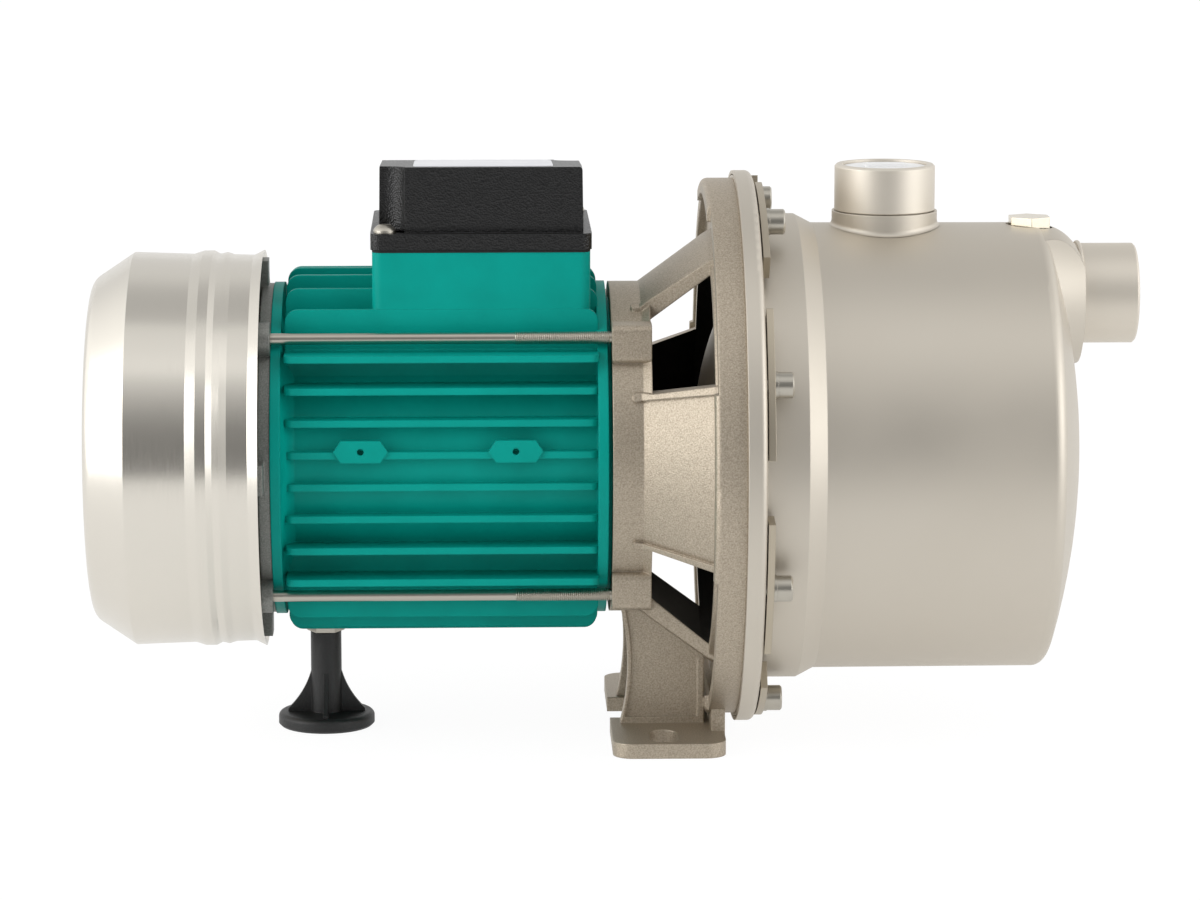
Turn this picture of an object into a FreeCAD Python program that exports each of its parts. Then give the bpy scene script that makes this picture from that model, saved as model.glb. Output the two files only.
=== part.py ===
"""Surface jet pump: a finned motor, a cast lantern bracket and a stainless jet pump casing.

Millimetres. X runs along the shaft from the motor's fan to the suction port, Z is up, and the
floor is Z = 0. The origin is on the floor, midway between the two slots of the foot plate.
Pieces on the shaft are drawn about their own X axis and lifted to the shaft's height.
"""
import FreeCAD, Part
import os
import re

import Sketcher
from FreeCAD import Vector

# Driving sizes, by piece. Stations are along X; radii and heights are from the shaft's axis.
SIZES = {
    # Whole pump
    "shaft_height": 113.8,
    "fit_gap": 0.05,
    "running_gap": 0.3,
    # Motor frame
    "bracket_rear": -20.4,
    "frame_length": 133.0,
    "frame_bore": 48.5,
    "frame_wall": 5.0,
    "frame_rim": 66.5,
    "frame_neck": 60.0,
    "joint_groove": 1.6,
    "rim_width": 4.0,
    "rim_flare": 5.0,
    "fin_circle": 72.6,
    "fin_pitch": 13.0,
    "fin_thick": 2.8,
    "fin_setback": 5.4,
    "fin_front_gap": 3.5,
    "fin_corner": 5.0,
    "side_fin_corner": 3.2,
    "side_fin_pitch": 12.6,
    "side_fin_reach": 57.5,
    "pad_level": 7.9,
    "pad_rise": 1.0,
    "pad_length": 21.4,
    "pad_height": 8.8,
    "pad_rear": -118.5,
    "pad_front": -58.0,
    "pad_hole": 1.3,
    "foot_boss": 8.0,
    # Terminal box
    "box_rear": -113.8,
    "box_length": 85.3,
    "box_half": 40.0,
    "box_root": 50.0,
    "box_floor": 57.0,
    "box_top": 83.5,
    "box_wall": 3.5,
    "box_corner": 4.0,
    "gasket": 1.0,
    "lid_band": 6.4,
    "lid_band_out": 0.6,
    "lid_height": 32.2,
    "lid_inset": 2.6,
    "lid_wall": 2.4,
    "lid_fall": 5.4,
    "scallop": 8.2,
    "lid_screw": 2.0,
    "lid_screw_head": 4.4,
    "lid_screw_rise": 3.2,
    "lid_screw_in": 5.0,
    "lid_screw_depth": 12.0,
    "gland_x": -92.0,
    "gland_z": 72.6,
    "gland_thread": 8.0,
    "gland_bore": 4.5,
    "gland_flats": 22.0,
    "gland_hex": 6.0,
    "gland_nut_length": 11.0,
    "capacitor_radius": 15.0,
    "capacitor_length": 60.0,
    "block_length": 34.0,
    "block_width": 22.0,
    "block_height": 12.0,
    # Rear end shield
    "shield_thick": 4.6,
    "shield_rim": 66.0,
    "spigot_length": 4.0,
    "spigot_wall": 4.4,
    "hub_wall": 5.0,
    "rod_y": 48.0,
    "rod_z": 51.0,
    "ear": 6.5,
    "lug_length": 10.0,
    "lug_half": 6.0,
    "lug_root": 58.0,
    # Fan cover and fan
    "cover_wall": 0.9,
    "cover_lap": 0.4,
    "cover_length": 68.3,
    "cover_radius": 77.8,
    "cover_taper": 0.8,
    "cover_face": 67.4,
    "cover_cone": 16.7,
    "cover_corner": 6.6,
    "bead_rise": 1.3,
    "bead_dip": 0.5,
    "rim_rise": 1.5,
    "bead_pitch": 4.0,
    "grille_in": 17.0,
    "grille_out": 51.0,
    "grille_slot": 4.6,
    "grille_slots": 20,
    "fan_radius": 60.0,
    "fan_plate": 2.0,
    "fan_depth": 24.0,
    "fan_clear": 7.5,
    "fan_hub": 12.5,
    "fan_blade": 2.2,
    "fan_blades": 9,
    # Shaft and bearings
    "bearing_bore": 7.5,
    "bearing_rim": 17.5,
    "bearing_width": 11.0,
    "race": 2.4,
    "ball": 2.7,
    "balls": 7,
    "cage_wall": 0.7,
    "shield_floor": 3.0,
    "fan_seat": 6.0,
    "shaft_body": 8.5,
    "seal_seat_radius": 7.0,
    "nose_radius": 6.0,
    "wave_washer": 0.8,
    # Rotor and stator
    "rotor_radius": 27.6,
    "air_gap": 0.5,
    "core_length": 56.0,
    "core_mid": -90.0,
    "ring_width": 7.0,
    "ring_bore": 16.0,
    "winding_length": 16.0,
    "winding_in": 31.0,
    "winding_out": 44.0,
    "slot_depth": 12.0,
    "slot_half": 1.6,
    "stator_slots": 18,
    # Tie rods
    "rod": 2.2,
    "rod_head": 4.2,
    "rod_head_length": 4.0,
    "rod_end": 3.0,
    # Motor bracket
    "ring_length": 15.4,
    "ring_radius": 66.3,
    "ring_wall": 5.5,
    "web_rear": 5.4,
    "web_front": 11.4,
    "hub_front": 17.4,
    "hub_floor": 4.0,
    "shaft_hole": 9.0,
    "cone_start": 12.0,
    "cone_end": 38.6,
    "cone_radius": 85.6,
    "cone_wall": 3.6,
    "flange_rear": 22.0,
    "flange_front": 29.5,
    "flange_lip": 5.0,
    "flange_radius": 107.5,
    "flange_lip_wall": 6.0,
    "flange_bore": 84.0,
    "panel_half": 31.0,
    "panel_flare": 5.5,
    "window_setback": 3.5,
    "rib": 3.2,
    "rib_rise": 1.4,
    "rib_lap": 6.0,
    "boss_low": 41.4,
    "boss_high": 56.6,
    "boss_out": 54.6,
    "boss_in": 40.0,
    "boss_corner": 3.0,
    # Foot plate and pedestal
    "plate_length": 44.6,
    "plate_rear": -20.2,
    "plate_half": 64.0,
    "plate_thick": 5.9,
    "plate_corner": 8.0,
    "notch_half": 18.0,
    "notch_depth": 12.0,
    "slot_y": 50.2,
    "foot_slot_half": 5.5,
    "foot_slot_length": 21.0,
    "leg_out": 26.0,
    "leg_wall": 5.0,
    "leg_rear": -17.0,
    "leg_arc": 97.0,
    "leg_front": 17.0,
    "leg_rim": 2.5,
    "leg_rim_rise": 1.5,
    "block_half": 42.0,
    "block_rear": 19.4,
    "flange_block": 5.4,
    # Pump casing
    "sheet": 1.5,
    "skirt_radius": 110.5,
    "skirt_length": 7.3,
    "skirt_corner": 2.4,
    "neck_radius": 93.2,
    "neck_length": 17.2,
    "step_length": 7.0,
    "drum_radius": 89.5,
    "drum_end_radius": 89.3,
    "drum_length": 106.3,
    "dome_radius": 275.0,
    "end_corner": 5.0,
    "pad_radius": 34.5,
    "pad_face_radius": 28.0,
    "pad_depth": 0.2,
    "pad_root": 18.0,
    "pad_shoulder": 14.0,
    "pad_crown": 16.0,
    "pad_crown_drop": 0.9,
    "pad_crown_top": 78.5,
    "tail_step": 5.3,
    "port_edge": 0.8,
    "port_z": 61.3,
    "port_radius": 20.0,
    "port_bore": 15.15,
    "suction_length": 22.8,
    "suction_tail": 13.3,
    "discharge_x": 89.9,
    "discharge_top": 113.5,
    "collar_top": 95.0,
    "collar_radius": 21.0,
    "collar_gap": 0.4,
    "cap_recess": 3.2,
    "cap_radius": 16.6,
    "cap_thick": 2.2,
    "cap_grip": 1.2,
    "cap_grip_half": 8.0,
    "priming_x": 148.0,
    "priming_top": 92.3,
    "priming_hex": 5.4,
    "priming_flats": 15.5,
    "plug_boss": 9.3,
    "plug_boss_length": 5.0,
    "plug_radius": 5.0,
    "plug_length": 7.0,
    "drain_angle": 225.0,
    # Casing cover, seal and O-ring
    "cover_plate": 2.0,
    "cover_rim": 108.6,
    "dish_radius": 63.5,
    "dish_arc": 128.0,
    "dish_depth": 14.4,
    "seal_hub": 18.5,
    "seal_pocket": 15.5,
    "seal_depth": 4.0,
    "seal_hole": 9.0,
    "seat_length": 6.0,
    "head_radius": 13.5,
    "o_ring_radius": 96.0,
    # Clamp plates and flange screws
    "bolt_circle": 103.0,
    "bolts": 8,
    "clamp_thick": 2.7,
    "clamp_gap": 0.5,
    "clamp_in": 96.8,
    "clamp_out": 108.4,
    "clamp_half_angle": 16.0,
    "bolt": 3.0,
    "bolt_head": 5.0,
    "bolt_head_length": 6.0,
    "bolt_socket": 2.5,
    "bolt_reach": 4.5,
    "spring_washer": 1.3,
    # Impeller, diffuser and ejector
    "impeller_radius": 52.0,
    "impeller_back": 38.0,
    "shroud": 1.6,
    "blade_height": 7.5,
    "blade_wall": 1.6,
    "blade_arc": 45.0,
    "blade_sweep": 50.0,
    "blades": 6,
    "impeller_hub": 11.0,
    "eye_radius": 18.0,
    "eye_length": 5.0,
    "nut_flats": 17.0,
    "nut_length": 6.0,
    "key_width": 3.0,
    "key_height": 2.4,
    "diffuser_rim": 80.0,
    "diffuser_wall": 2.5,
    "diffuser_length": 30.0,
    "vane_half": 1.5,
    "vanes": 9,
    "throat": 7.5,
    "ejector_out": 15.0,
    "ejector_length": 84.0,
    "chamber_out": 24.0,
    "chamber_wall": 3.0,
    "chamber_length": 32.0,
    "elbow_out": 13.0,
    "elbow_wall": 2.5,
    "nozzle_tip": 4.0,
    "nozzle_length": 24.0,
    # Rear foot
    "foot_x": -134.5,
    "foot_radius": 19.4,
    "foot_thick": 5.6,
    "foot_edge": 2.0,
    "foot_column": 6.2,
    "foot_top": 38.6,
    "foot_rib": 2.0,
    "foot_rib_out": 15.5,
    "foot_rib_top": 27.0,
    "stud": 4.0,
    "stud_low": 12.0,
    "stud_in": 16.0,
    "foot_nut": 6.5,
    "foot_nut_length": 3.4,
}

doc = FreeCAD.newDocument("SurfaceJetPump")
sheet = doc.addObject("Spreadsheet::Sheet", "sizes")
for row, (alias, size) in enumerate(SIZES.items(), start=1):
    sheet.set(f"A{row}", alias)
    sheet.set(f"B{row}", str(size))
    sheet.setAlias(f"B{row}", alias)
probe = doc.addObject("Spreadsheet::Sheet", "probe")
doc.recompute()

WORDS = re.compile(r"\b(" + "|".join(SIZES) + r")\b")
PIECES = []
known = {}


def cells(text):
    """An expression with each size's name pointed at its cell in the sheet."""
    return WORDS.sub(r"sizes.\1", text)


def number(text):
    """What an expression comes to, worked out by the sheet itself."""
    if text not in known:
        probe.set("A1", "=" + cells(text))
        probe.recompute()
        known[text] = float(probe.get("A1"))
    return known[text]


# Stations along the shaft, from the rear of the motor to the pump's end
FRAME_FRONT = "bracket_rear"
FRAME_REAR = "(bracket_rear - frame_length)"
RIM_FRONT = "(bracket_rear - joint_groove)"
BARREL = "(frame_bore + frame_wall)"
ROOT = "(frame_bore + frame_wall / 2)"
FIN_REAR = f"({FRAME_REAR} + fin_setback)"
FIN_FRONT = f"({RIM_FRONT} - fin_front_gap)"
SHIELD_REAR = f"({FRAME_REAR} - shield_thick)"
COVER_RIM = f"({SHIELD_REAR} + cover_lap)"
COVER_REAR = f"({COVER_RIM} - cover_length)"
REAR_SEAT = f"({SHIELD_REAR} + shield_floor)"
REAR_BEARING = f"({REAR_SEAT} + wave_washer)"
FAN_FRONT = f"({SHIELD_REAR} - lug_length - fan_clear)"
FAN_REAR = f"({FAN_FRONT} - fan_depth)"
RING_FRONT = "(bracket_rear + ring_length)"
HUB_FRONT = "(bracket_rear + hub_front)"
FRONT_SEAT = f"({HUB_FRONT} - hub_floor)"
FRONT_BEARING = f"({FRONT_SEAT} - bearing_width)"
CORE_REAR = "(core_mid - core_length / 2)"
CORE_FRONT = "(core_mid + core_length / 2)"
BOX_FRONT = "(box_rear + box_length)"
LID_BASE = "(box_top + gasket)"
COVER_FRONT = "(flange_front + cover_plate)"
CASING_FACE = "(flange_front + skirt_length)"
NECK_END = f"({CASING_FACE} + neck_length)"
DRUM_START = f"({NECK_END} + step_length)"
DRUM_END = f"({DRUM_START} + drum_length)"
DOME_CENTRE = f"({DRUM_END} - dome_radius)"
CORNER_RISE = "(drum_end_radius - end_corner)"
CORNER_REACH = f"sqrt((dome_radius - end_corner)^2 - {CORNER_RISE}^2)"
CORNER = f"({DOME_CENTRE} + {CORNER_REACH})"
PAD_FACE = f"({DRUM_END} + pad_depth)"
PORT_END = f"({PAD_FACE} + suction_length)"
PORT_TAIL = f"({DRUM_END} - suction_tail)"
CLAMP_REAR = f"({CASING_FACE} + clamp_gap)"
CLAMP_FRONT = f"({CLAMP_REAR} + clamp_thick)"
BOLT_SEAT = f"({CLAMP_FRONT} + spring_washer)"
DISH_FLOOR = "(flange_front - dish_depth)"
SEAL_FACE = f"({DISH_FLOOR} - seal_depth / 2)"
HEAD_REAR = f"({SEAL_FACE} + seat_length + running_gap)"
IMPELLER_FRONT = "(impeller_back + 2 * shroud + blade_height)"
NUT_FRONT = f"({IMPELLER_FRONT} + nut_length)"
DIFFUSER_FRONT = f"({COVER_FRONT} + diffuser_length)"
NOSE_END = f"({DIFFUSER_FRONT} + ejector_length)"
BOLT_PLACE = ("bolt_circle * sin(180 deg / bolts)", "bolt_circle * cos(180 deg / bolts)")


def new_piece(name, on_shaft=True):
    """An empty body for one sub-part, drawn about the shaft's axis or from the floor."""
    piece = doc.addObject("PartDesign::Body", name)
    piece.Label = name
    piece.AllowCompound = True
    if on_shaft:
        piece.setExpression("Placement.Base.z", cells("shaft_height"))
    PIECES.append(piece)
    return piece


def origin(piece, role):
    """One of a body's own origin planes or axes."""
    return next(part for part in piece.Origin.OriginFeatures if part.Role == role)


def arc_between(start, end, radius):
    """A short arc from start to end; a positive radius turns left, a negative one right."""
    chord = end - start
    half = chord.Length / 2
    rise = max(radius * radius - half * half, 0.0) ** 0.5
    left = Vector(-chord.y, chord.x, 0).normalize()
    side = 1 if radius > 0 else -1
    centre = (start + end) * 0.5 + left * (side * rise)
    middle = centre - left * (side * abs(radius))
    return Part.Arc(start, middle, end)


def hold(rules, kind, element, point, text):
    """A rule that holds a point at a distance from the drawing's origin."""
    rules.append((Sketcher.Constraint(kind, -1, 1, element, point, number(text)), text))


def trace_circle(elements, rules, centre_x, centre_y, radius):
    ring = len(elements)
    middle = Vector(number(centre_x), number(centre_y), 0)
    elements.append(Part.Circle(middle, Vector(0, 0, 1), number(radius)))
    hold(rules, "DistanceX", ring, 3, centre_x)
    hold(rules, "DistanceY", ring, 3, centre_y)
    rules.append((Sketcher.Constraint("Radius", ring, number(radius)), radius))


def trace_outline(elements, rules, outline):
    """A closed outline. A corner is (x, y), or (x, y, radius) where an arc leaves it."""
    corners = [Vector(number(corner[0]), number(corner[1]), 0) for corner in outline]
    first_element = len(elements)
    ends = []
    for index, corner in enumerate(outline):
        start = corners[index]
        end = corners[(index + 1) % len(corners)]
        radius = number(corner[2]) if len(corner) == 3 else 0
        elements.append(arc_between(start, end, radius) if radius else Part.LineSegment(start, end))
        ends.append((first_element + index, 2, 1) if radius < 0 else (first_element + index, 1, 2))
    for index, corner in enumerate(outline):
        element, first, last = ends[index]
        following, following_first, _ = ends[(index + 1) % len(ends)]
        join = Sketcher.Constraint("Coincident", element, last, following, following_first)
        rules.append((join, None))
        hold(rules, "DistanceX", element, first, corner[0])
        hold(rules, "DistanceY", element, first, corner[1])
        if len(corner) == 3:
            size = f"abs({corner[2]})"
            rules.append((Sketcher.Constraint("Radius", element, number(size)), size))


def sketch(piece, plane, outlines, at):
    """A sketch on one of the body's planes, its origin moved by at, with closed outlines."""
    count = sum(1 for part in piece.Group if part.isDerivedFrom("Sketcher::SketchObject"))
    drawing = piece.newObject("Sketcher::SketchObject", f"{piece.Name}_outline_{count + 1}")
    drawing.AttachmentSupport = [(origin(piece, plane + "_Plane"), "")]
    drawing.MapMode = "FlatFace"
    for axis, text in zip("xyz", at):
        if text != "0":
            drawing.setExpression(f"AttachmentOffset.Base.{axis}", cells(text))
    elements = []
    rules = []
    for outline in outlines:
        if outline[0] == "circle":
            trace_circle(elements, rules, *outline[1:])
        else:
            trace_outline(elements, rules, outline)
    drawing.addGeometry(elements, False)
    drawing.addConstraint([rule for rule, _ in rules])
    for index, (_, text) in enumerate(rules):
        if text is not None:
            drawing.setExpression(f"Constraints[{index}]", cells(text))
    return drawing


def add(piece, kind, word, drawing):
    """A feature of the body, made from a sketch."""
    feature = piece.newObject("PartDesign::" + kind, f"{drawing.Name}_{word}")
    feature.Profile = drawing
    return feature


def turn(piece, outlines, at=("0", "0", "0"), axis="H_Axis", cut=False, plane="XZ"):
    """Turn outlines about the sketch's own axis, adding material or cutting it."""
    drawing = sketch(piece, plane, outlines, at)
    feature = add(piece, "Groove" if cut else "Revolution", "turn", drawing)
    feature.ReferenceAxis = (drawing, [axis])
    feature.Angle = 360
    doc.recompute()
    return feature


def pad(piece, plane, outlines, length, at=("0", "0", "0"), back=False):
    """Raise outlines along their plane's normal, or against it."""
    drawing = sketch(piece, plane, outlines, at)
    feature = add(piece, "Pad", "pad", drawing)
    feature.setExpression("Length", cells(length))
    feature.Reversed = back
    doc.recompute()
    return feature


def pocket(piece, plane, outlines, depth, at=("0", "0", "0"), forward=False):
    """Cut outlines against their plane's normal, or along it."""
    drawing = sketch(piece, plane, outlines, at)
    feature = add(piece, "Pocket", "cut", drawing)
    feature.setExpression("Length", cells(depth))
    feature.Reversed = forward
    before = piece.Shape.Volume
    doc.recompute()
    if piece.Shape.Volume > before - 1e-3:
        raise RuntimeError(f"{feature.Name} cuts nothing")
    return feature


def repeat(piece, features, count, axis="X_Axis"):
    """A ring of copies of the features about one of the body's axes."""
    ring = piece.newObject("PartDesign::PolarPattern", f"{features[0].Name}_ring")
    ring.Originals = features
    ring.Axis = (origin(piece, axis), [""])
    ring.Angle = 360
    ring.setExpression("Occurrences", cells(count))
    piece.Tip = ring
    doc.recompute()
    return ring


def round_edges(piece, wanted, radius, kind="Fillet"):
    """Round or bevel the edges of the body's last feature that wanted picks."""
    tip = piece.Tip
    edges = [f"Edge{index}" for index, edge in enumerate(tip.Shape.Edges, start=1) if wanted(edge)]
    if not edges:
        raise RuntimeError(f"no edge to round on {piece.Name}")
    feature = piece.newObject("PartDesign::" + kind, f"{tip.Name}_{kind.lower()}")
    feature.Base = (tip, edges)
    feature.setExpression("Radius" if kind == "Fillet" else "Size", cells(radius))
    doc.recompute()
    return feature


def hoop(station, radius, near=0.05):
    """Picks full circles about the shaft's axis at a station and a radius."""
    x = number(station)
    r = number(radius)

    def wanted(edge):
        if edge.Degenerated or not hasattr(edge.Curve, "Radius"):
            return False
        curve = edge.Curve
        level = abs(curve.Center.x - x) < near and abs(abs(curve.Axis.x) - 1) < 1e-6
        return level and abs(curve.Radius - r) < near
    return wanted


def box_outline(low_x, low_y, high_x, high_y):
    return [(low_x, low_y), (high_x, low_y), (high_x, high_y), (low_x, high_y)]


def rounded_outline(low_x, low_y, high_x, high_y, radius):
    return [
        (f"{low_x} + {radius}", low_y),
        (f"{high_x} - {radius}", low_y, radius),
        (high_x, f"{low_y} + {radius}"),
        (high_x, f"{high_y} - {radius}", radius),
        (f"{high_x} - {radius}", high_y),
        (f"{low_x} + {radius}", high_y, radius),
        (low_x, f"{high_y} - {radius}"),
        (low_x, f"{low_y} + {radius}", radius),
    ]


def slot_outline(x, y, half_width, length):
    """A slot along the sketch's second axis; each round end is two quarter arcs."""
    run = f"({length} / 2 - {half_width})"
    return [
        (f"{x} + {half_width}", f"{y} - {run}"),
        (f"{x} + {half_width}", f"{y} + {run}", half_width),
        (x, f"{y} + {length} / 2", half_width),
        (f"{x} - {half_width}", f"{y} + {run}"),
        (f"{x} - {half_width}", f"{y} - {run}", half_width),
        (x, f"{y} - {length} / 2", half_width),
    ]


def hexagon_outline(x, y, flats, turned=0):
    """Six corners about a middle, the first one toward +X, or turned from there by degrees."""
    return [
        (f"{x} + {flats} / sqrt(3) * cos({turned + 60 * step} deg)",
         f"{y} + {flats} / sqrt(3) * sin({turned + 60 * step} deg)")
        for step in range(6)
    ]


def fin_outline(root, tip, corner, side):
    """A fin seen from its side, with its two outer corners rounded; side is 1 or -1."""
    return [
        (FIN_REAR, f"{side} * {root}"),
        (FIN_FRONT, f"{side} * {root}"),
        (FIN_FRONT, f"{side} * ({tip} - {corner})", f"{side} * {corner}"),
        (f"{FIN_FRONT} - {corner}", f"{side} * {tip}"),
        (f"{FIN_REAR} + {corner}", f"{side} * {tip}", f"{side} * {corner}"),
        (FIN_REAR, f"{side} * ({tip} - {corner})"),
    ]


def motor_frame():
    """Barrel with end rims, upright fins above and below, level fins at the sides."""
    piece = new_piece("motor_frame")
    rim_back = f"{RIM_FRONT} - rim_width"
    turn(piece, [[
        (FRAME_REAR, "frame_bore"),
        (FRAME_FRONT, "frame_bore"),
        (FRAME_FRONT, "frame_neck"),
        (RIM_FRONT, "frame_neck"),
        (RIM_FRONT, "frame_rim"),
        (rim_back, "frame_rim"),
        (rim_back, BARREL),
        (f"{FRAME_REAR} + rim_width + rim_flare", BARREL, "-3 * rim_flare"),
        (f"{FRAME_REAR} + rim_width", "frame_rim"),
        (FRAME_REAR, "frame_rim"),
    ]])
    for step in range(-3, 4):
        across = f"({step} * fin_pitch)"
        root = f"sqrt({ROOT}^2 - {across}^2)"
        tip = f"sqrt(fin_circle^2 - {across}^2)"
        outlines = [fin_outline(root, tip, "fin_corner", side) for side in (1, -1)]
        pad(piece, "XZ", outlines, "fin_thick", ("0", "0", f"-{across} - fin_thick / 2"))
    for step in (-3.5, -2.5, -1.5, -0.5, 0.5, 1.5, 2.5, 3.5):
        level = f"({step} * side_fin_pitch)"
        root = f"sqrt({ROOT}^2 - {level}^2)"
        outlines = [fin_outline(root, "side_fin_reach", "side_fin_corner", side) for side in (1, -1)]
        pad(piece, "XY", outlines, "fin_thick", ("0", "0", f"{level} - fin_thick / 2"))
    pad(piece, "XY", [rounded_outline("box_rear", "-box_half", BOX_FRONT, "box_half", "box_corner")],
        "box_top - box_root", ("0", "0", "box_root"))
    pocket(piece, "XY", [rounded_outline("box_rear + box_wall", "-box_half + box_wall",
                                         f"{BOX_FRONT} - box_wall", "box_half - box_wall",
                                         "box_corner / 2")],
           "box_top - box_floor", ("0", "0", "box_top"))
    pocket(piece, "XY", [("circle", "core_mid", "0", "gland_bore")], "box_floor - frame_bore + 4",
           ("0", "0", "box_floor + 1"))
    pocket(piece, "XZ", [("circle", "gland_x", "gland_z", "gland_thread + fit_gap")],
           "box_wall + 1", ("0", "0", "-(box_half - box_wall - 0.5)"))
    screws = [("circle", x, y, "lid_screw + fit_gap") for x, y in lid_screw_places()]
    posts = [("circle", x, y, "2 * lid_screw") for x, y in lid_screw_places()]
    pad(piece, "XY", posts, "box_top - box_floor", ("0", "0", "box_floor"))
    pocket(piece, "XY", screws, "lid_screw_depth", ("0", "0", "box_top"))
    pads = []
    level = "pad_level"
    for x in ("pad_rear", "pad_front"):
        pads.append([
            (f"{x} - pad_length / 2", level),
            (f"{x} - pad_length / 2 + pad_height / 3", f"{level} - pad_height / 2"),
            (f"{x} + pad_length / 2 - pad_height / 3", f"{level} - pad_height / 2"),
            (f"{x} + pad_length / 2", level),
            (f"{x} + pad_length / 2 - pad_height / 3", f"{level} + pad_height / 2"),
            (f"{x} - pad_length / 2 + pad_height / 3", f"{level} + pad_height / 2"),
        ])
    pad(piece, "XZ", pads, "2 * pad_rise", ("0", "0", "side_fin_reach - pad_rise"))
    holes = [("circle", x, "pad_level", "pad_hole") for x in ("pad_rear", "pad_front")]
    pocket(piece, "XZ", holes, "3 * pad_rise", ("0", "0", "side_fin_reach + pad_rise"))
    boss = "(fin_circle - 2)"
    pad(piece, "XY", [("circle", "foot_x", "0", "foot_boss")], f"{boss} - {ROOT}",
        ("0", "0", f"-{boss}"))
    pocket(piece, "XY", [("circle", "foot_x", "0", "foot_boss + 1")], "6 * fin_thick",
           ("0", "0", f"-{boss}"))
    pocket(piece, "XY", [("circle", "foot_x", "0", "stud + fit_gap")], "stud_in",
           ("0", "0", f"-{boss}"), forward=True)
    return piece


def lid_screw_places():
    """The two lid screws: front-left corner and the corner diagonally across."""
    return [("box_rear + lid_screw_in", "-box_half + lid_screw_in"),
            (f"{BOX_FRONT} - lid_screw_in", "box_half - lid_screw_in")]


def terminal_box():
    """Black lid with a base band and two scalloped corners, its gasket and its screws."""
    gasket = new_piece("box_gasket")
    pad(gasket, "XY", [rounded_outline("box_rear", "-box_half", BOX_FRONT, "box_half", "box_corner")],
        "gasket", ("0", "0", "box_top"))
    pocket(gasket, "XY", [rounded_outline("box_rear + box_wall", "-box_half + box_wall",
                                          f"{BOX_FRONT} - box_wall", "box_half - box_wall",
                                          "box_corner / 2")], "gasket", ("0", "0", LID_BASE))
    holes = [("circle", x, y, "lid_screw + 4 * fit_gap") for x, y in lid_screw_places()]
    pocket(gasket, "XY", holes, "gasket", ("0", "0", LID_BASE))

    lid = new_piece("terminal_box_cover")
    pad(lid, "XY", [rounded_outline("box_rear - lid_band_out", "-box_half - lid_band_out",
                                    f"{BOX_FRONT} + lid_band_out", "box_half + lid_band_out",
                                    "box_corner")], "lid_band", ("0", "0", LID_BASE))
    body_rear = "(box_rear + lid_inset)"
    body_front = f"({BOX_FRONT} - lid_inset)"
    side = [
        (body_rear, LID_BASE),
        (body_front, LID_BASE),
        (f"{body_front} - 0.4", f"{LID_BASE} + lid_height - 1.4", "1.4"),
        (f"{body_front} - 1.8", f"{LID_BASE} + lid_height"),
        (f"{body_rear} + 1.8", f"{LID_BASE} + lid_height", "1.4"),
        (f"{body_rear} + 0.4", f"{LID_BASE} + lid_height - 1.4"),
    ]
    pad(lid, "XZ", [side], "2 * (box_half - lid_inset)", ("0", "0", "-(box_half - lid_inset)"))
    top = f"({LID_BASE} + lid_height)"
    pocket(lid, "YZ", [[
        ("-box_half + lid_inset", top),
        ("box_half + 1", f"{top} - lid_fall"),
        ("box_half + 1", f"{top} + 2"),
        ("-box_half + lid_inset", f"{top} + 2"),
    ]], "box_length + 10", ("0", "0", f"{BOX_FRONT} + 5"))
    scallops = [("circle", x, y, "scallop") for x, y in lid_screw_places()]
    pocket(lid, "XY", scallops, "lid_height - lid_band + 3", ("0", "0", f"{top} + 3"))
    inside = rounded_outline(f"{body_rear} + lid_wall", "-box_half + lid_inset + lid_wall",
                             f"{body_front} - lid_wall", "box_half - lid_inset - lid_wall",
                             "box_corner / 2")
    pocket(lid, "XY", [inside], "lid_band", ("0", "0", f"{LID_BASE} + lid_band"))
    clear = "(2 * lid_screw_in + scallop - lid_inset)"
    hollow = [
        (f"{body_rear} + {clear}", "-box_half + lid_inset + lid_wall"),
        (f"{body_front} - lid_wall", "-box_half + lid_inset + lid_wall"),
        (f"{body_front} - lid_wall", f"box_half - lid_inset - {clear}"),
        (f"{body_front} - {clear}", f"box_half - lid_inset - {clear}"),
        (f"{body_front} - {clear}", "box_half - lid_inset - lid_wall"),
        (f"{body_rear} + lid_wall", "box_half - lid_inset - lid_wall"),
        (f"{body_rear} + lid_wall", f"-box_half + lid_inset + {clear}"),
        (f"{body_rear} + {clear}", f"-box_half + lid_inset + {clear}"),
    ]
    pocket(lid, "XY", [hollow], "lid_height - lid_fall - lid_wall - lid_band",
           ("0", "0", f"{top} - lid_fall - lid_wall"))
    ears = [("circle", x, y, "lid_screw_head") for x, y in lid_screw_places()]
    pad(lid, "XY", ears, "lid_band", ("0", "0", LID_BASE))
    holes = [("circle", x, y, "lid_screw + 4 * fit_gap") for x, y in lid_screw_places()]
    pocket(lid, "XY", holes, "lid_band", ("0", "0", f"{LID_BASE} + lid_band"))

    screws = new_piece("cover_screws")
    head = f"({LID_BASE} + lid_band)"
    for x, y in lid_screw_places():
        turn(screws, [[
            ("0", f"box_top - lid_screw_depth + 1"),
            ("lid_screw", f"box_top - lid_screw_depth + 1"),
            ("lid_screw", head),
            ("lid_screw_head", head),
            ("lid_screw_head", f"{head} + lid_screw_rise / 3", "1.5 * lid_screw_rise"),
            ("lid_screw_head / 2", f"{head} + lid_screw_rise"),
            ("0", f"{head} + lid_screw_rise"),
        ]], (x, "0", f"-({y})"), axis="V_Axis")
    slots = [box_outline(f"{x} - lid_screw_head * 0.6", f"{y} - 0.5", f"{x} + lid_screw_head * 0.6",
                         f"{y} + 0.5") for x, y in lid_screw_places()]
    pocket(screws, "XY", slots, "lid_screw_rise / 2", ("0", "0", f"{head} + lid_screw_rise"))

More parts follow.
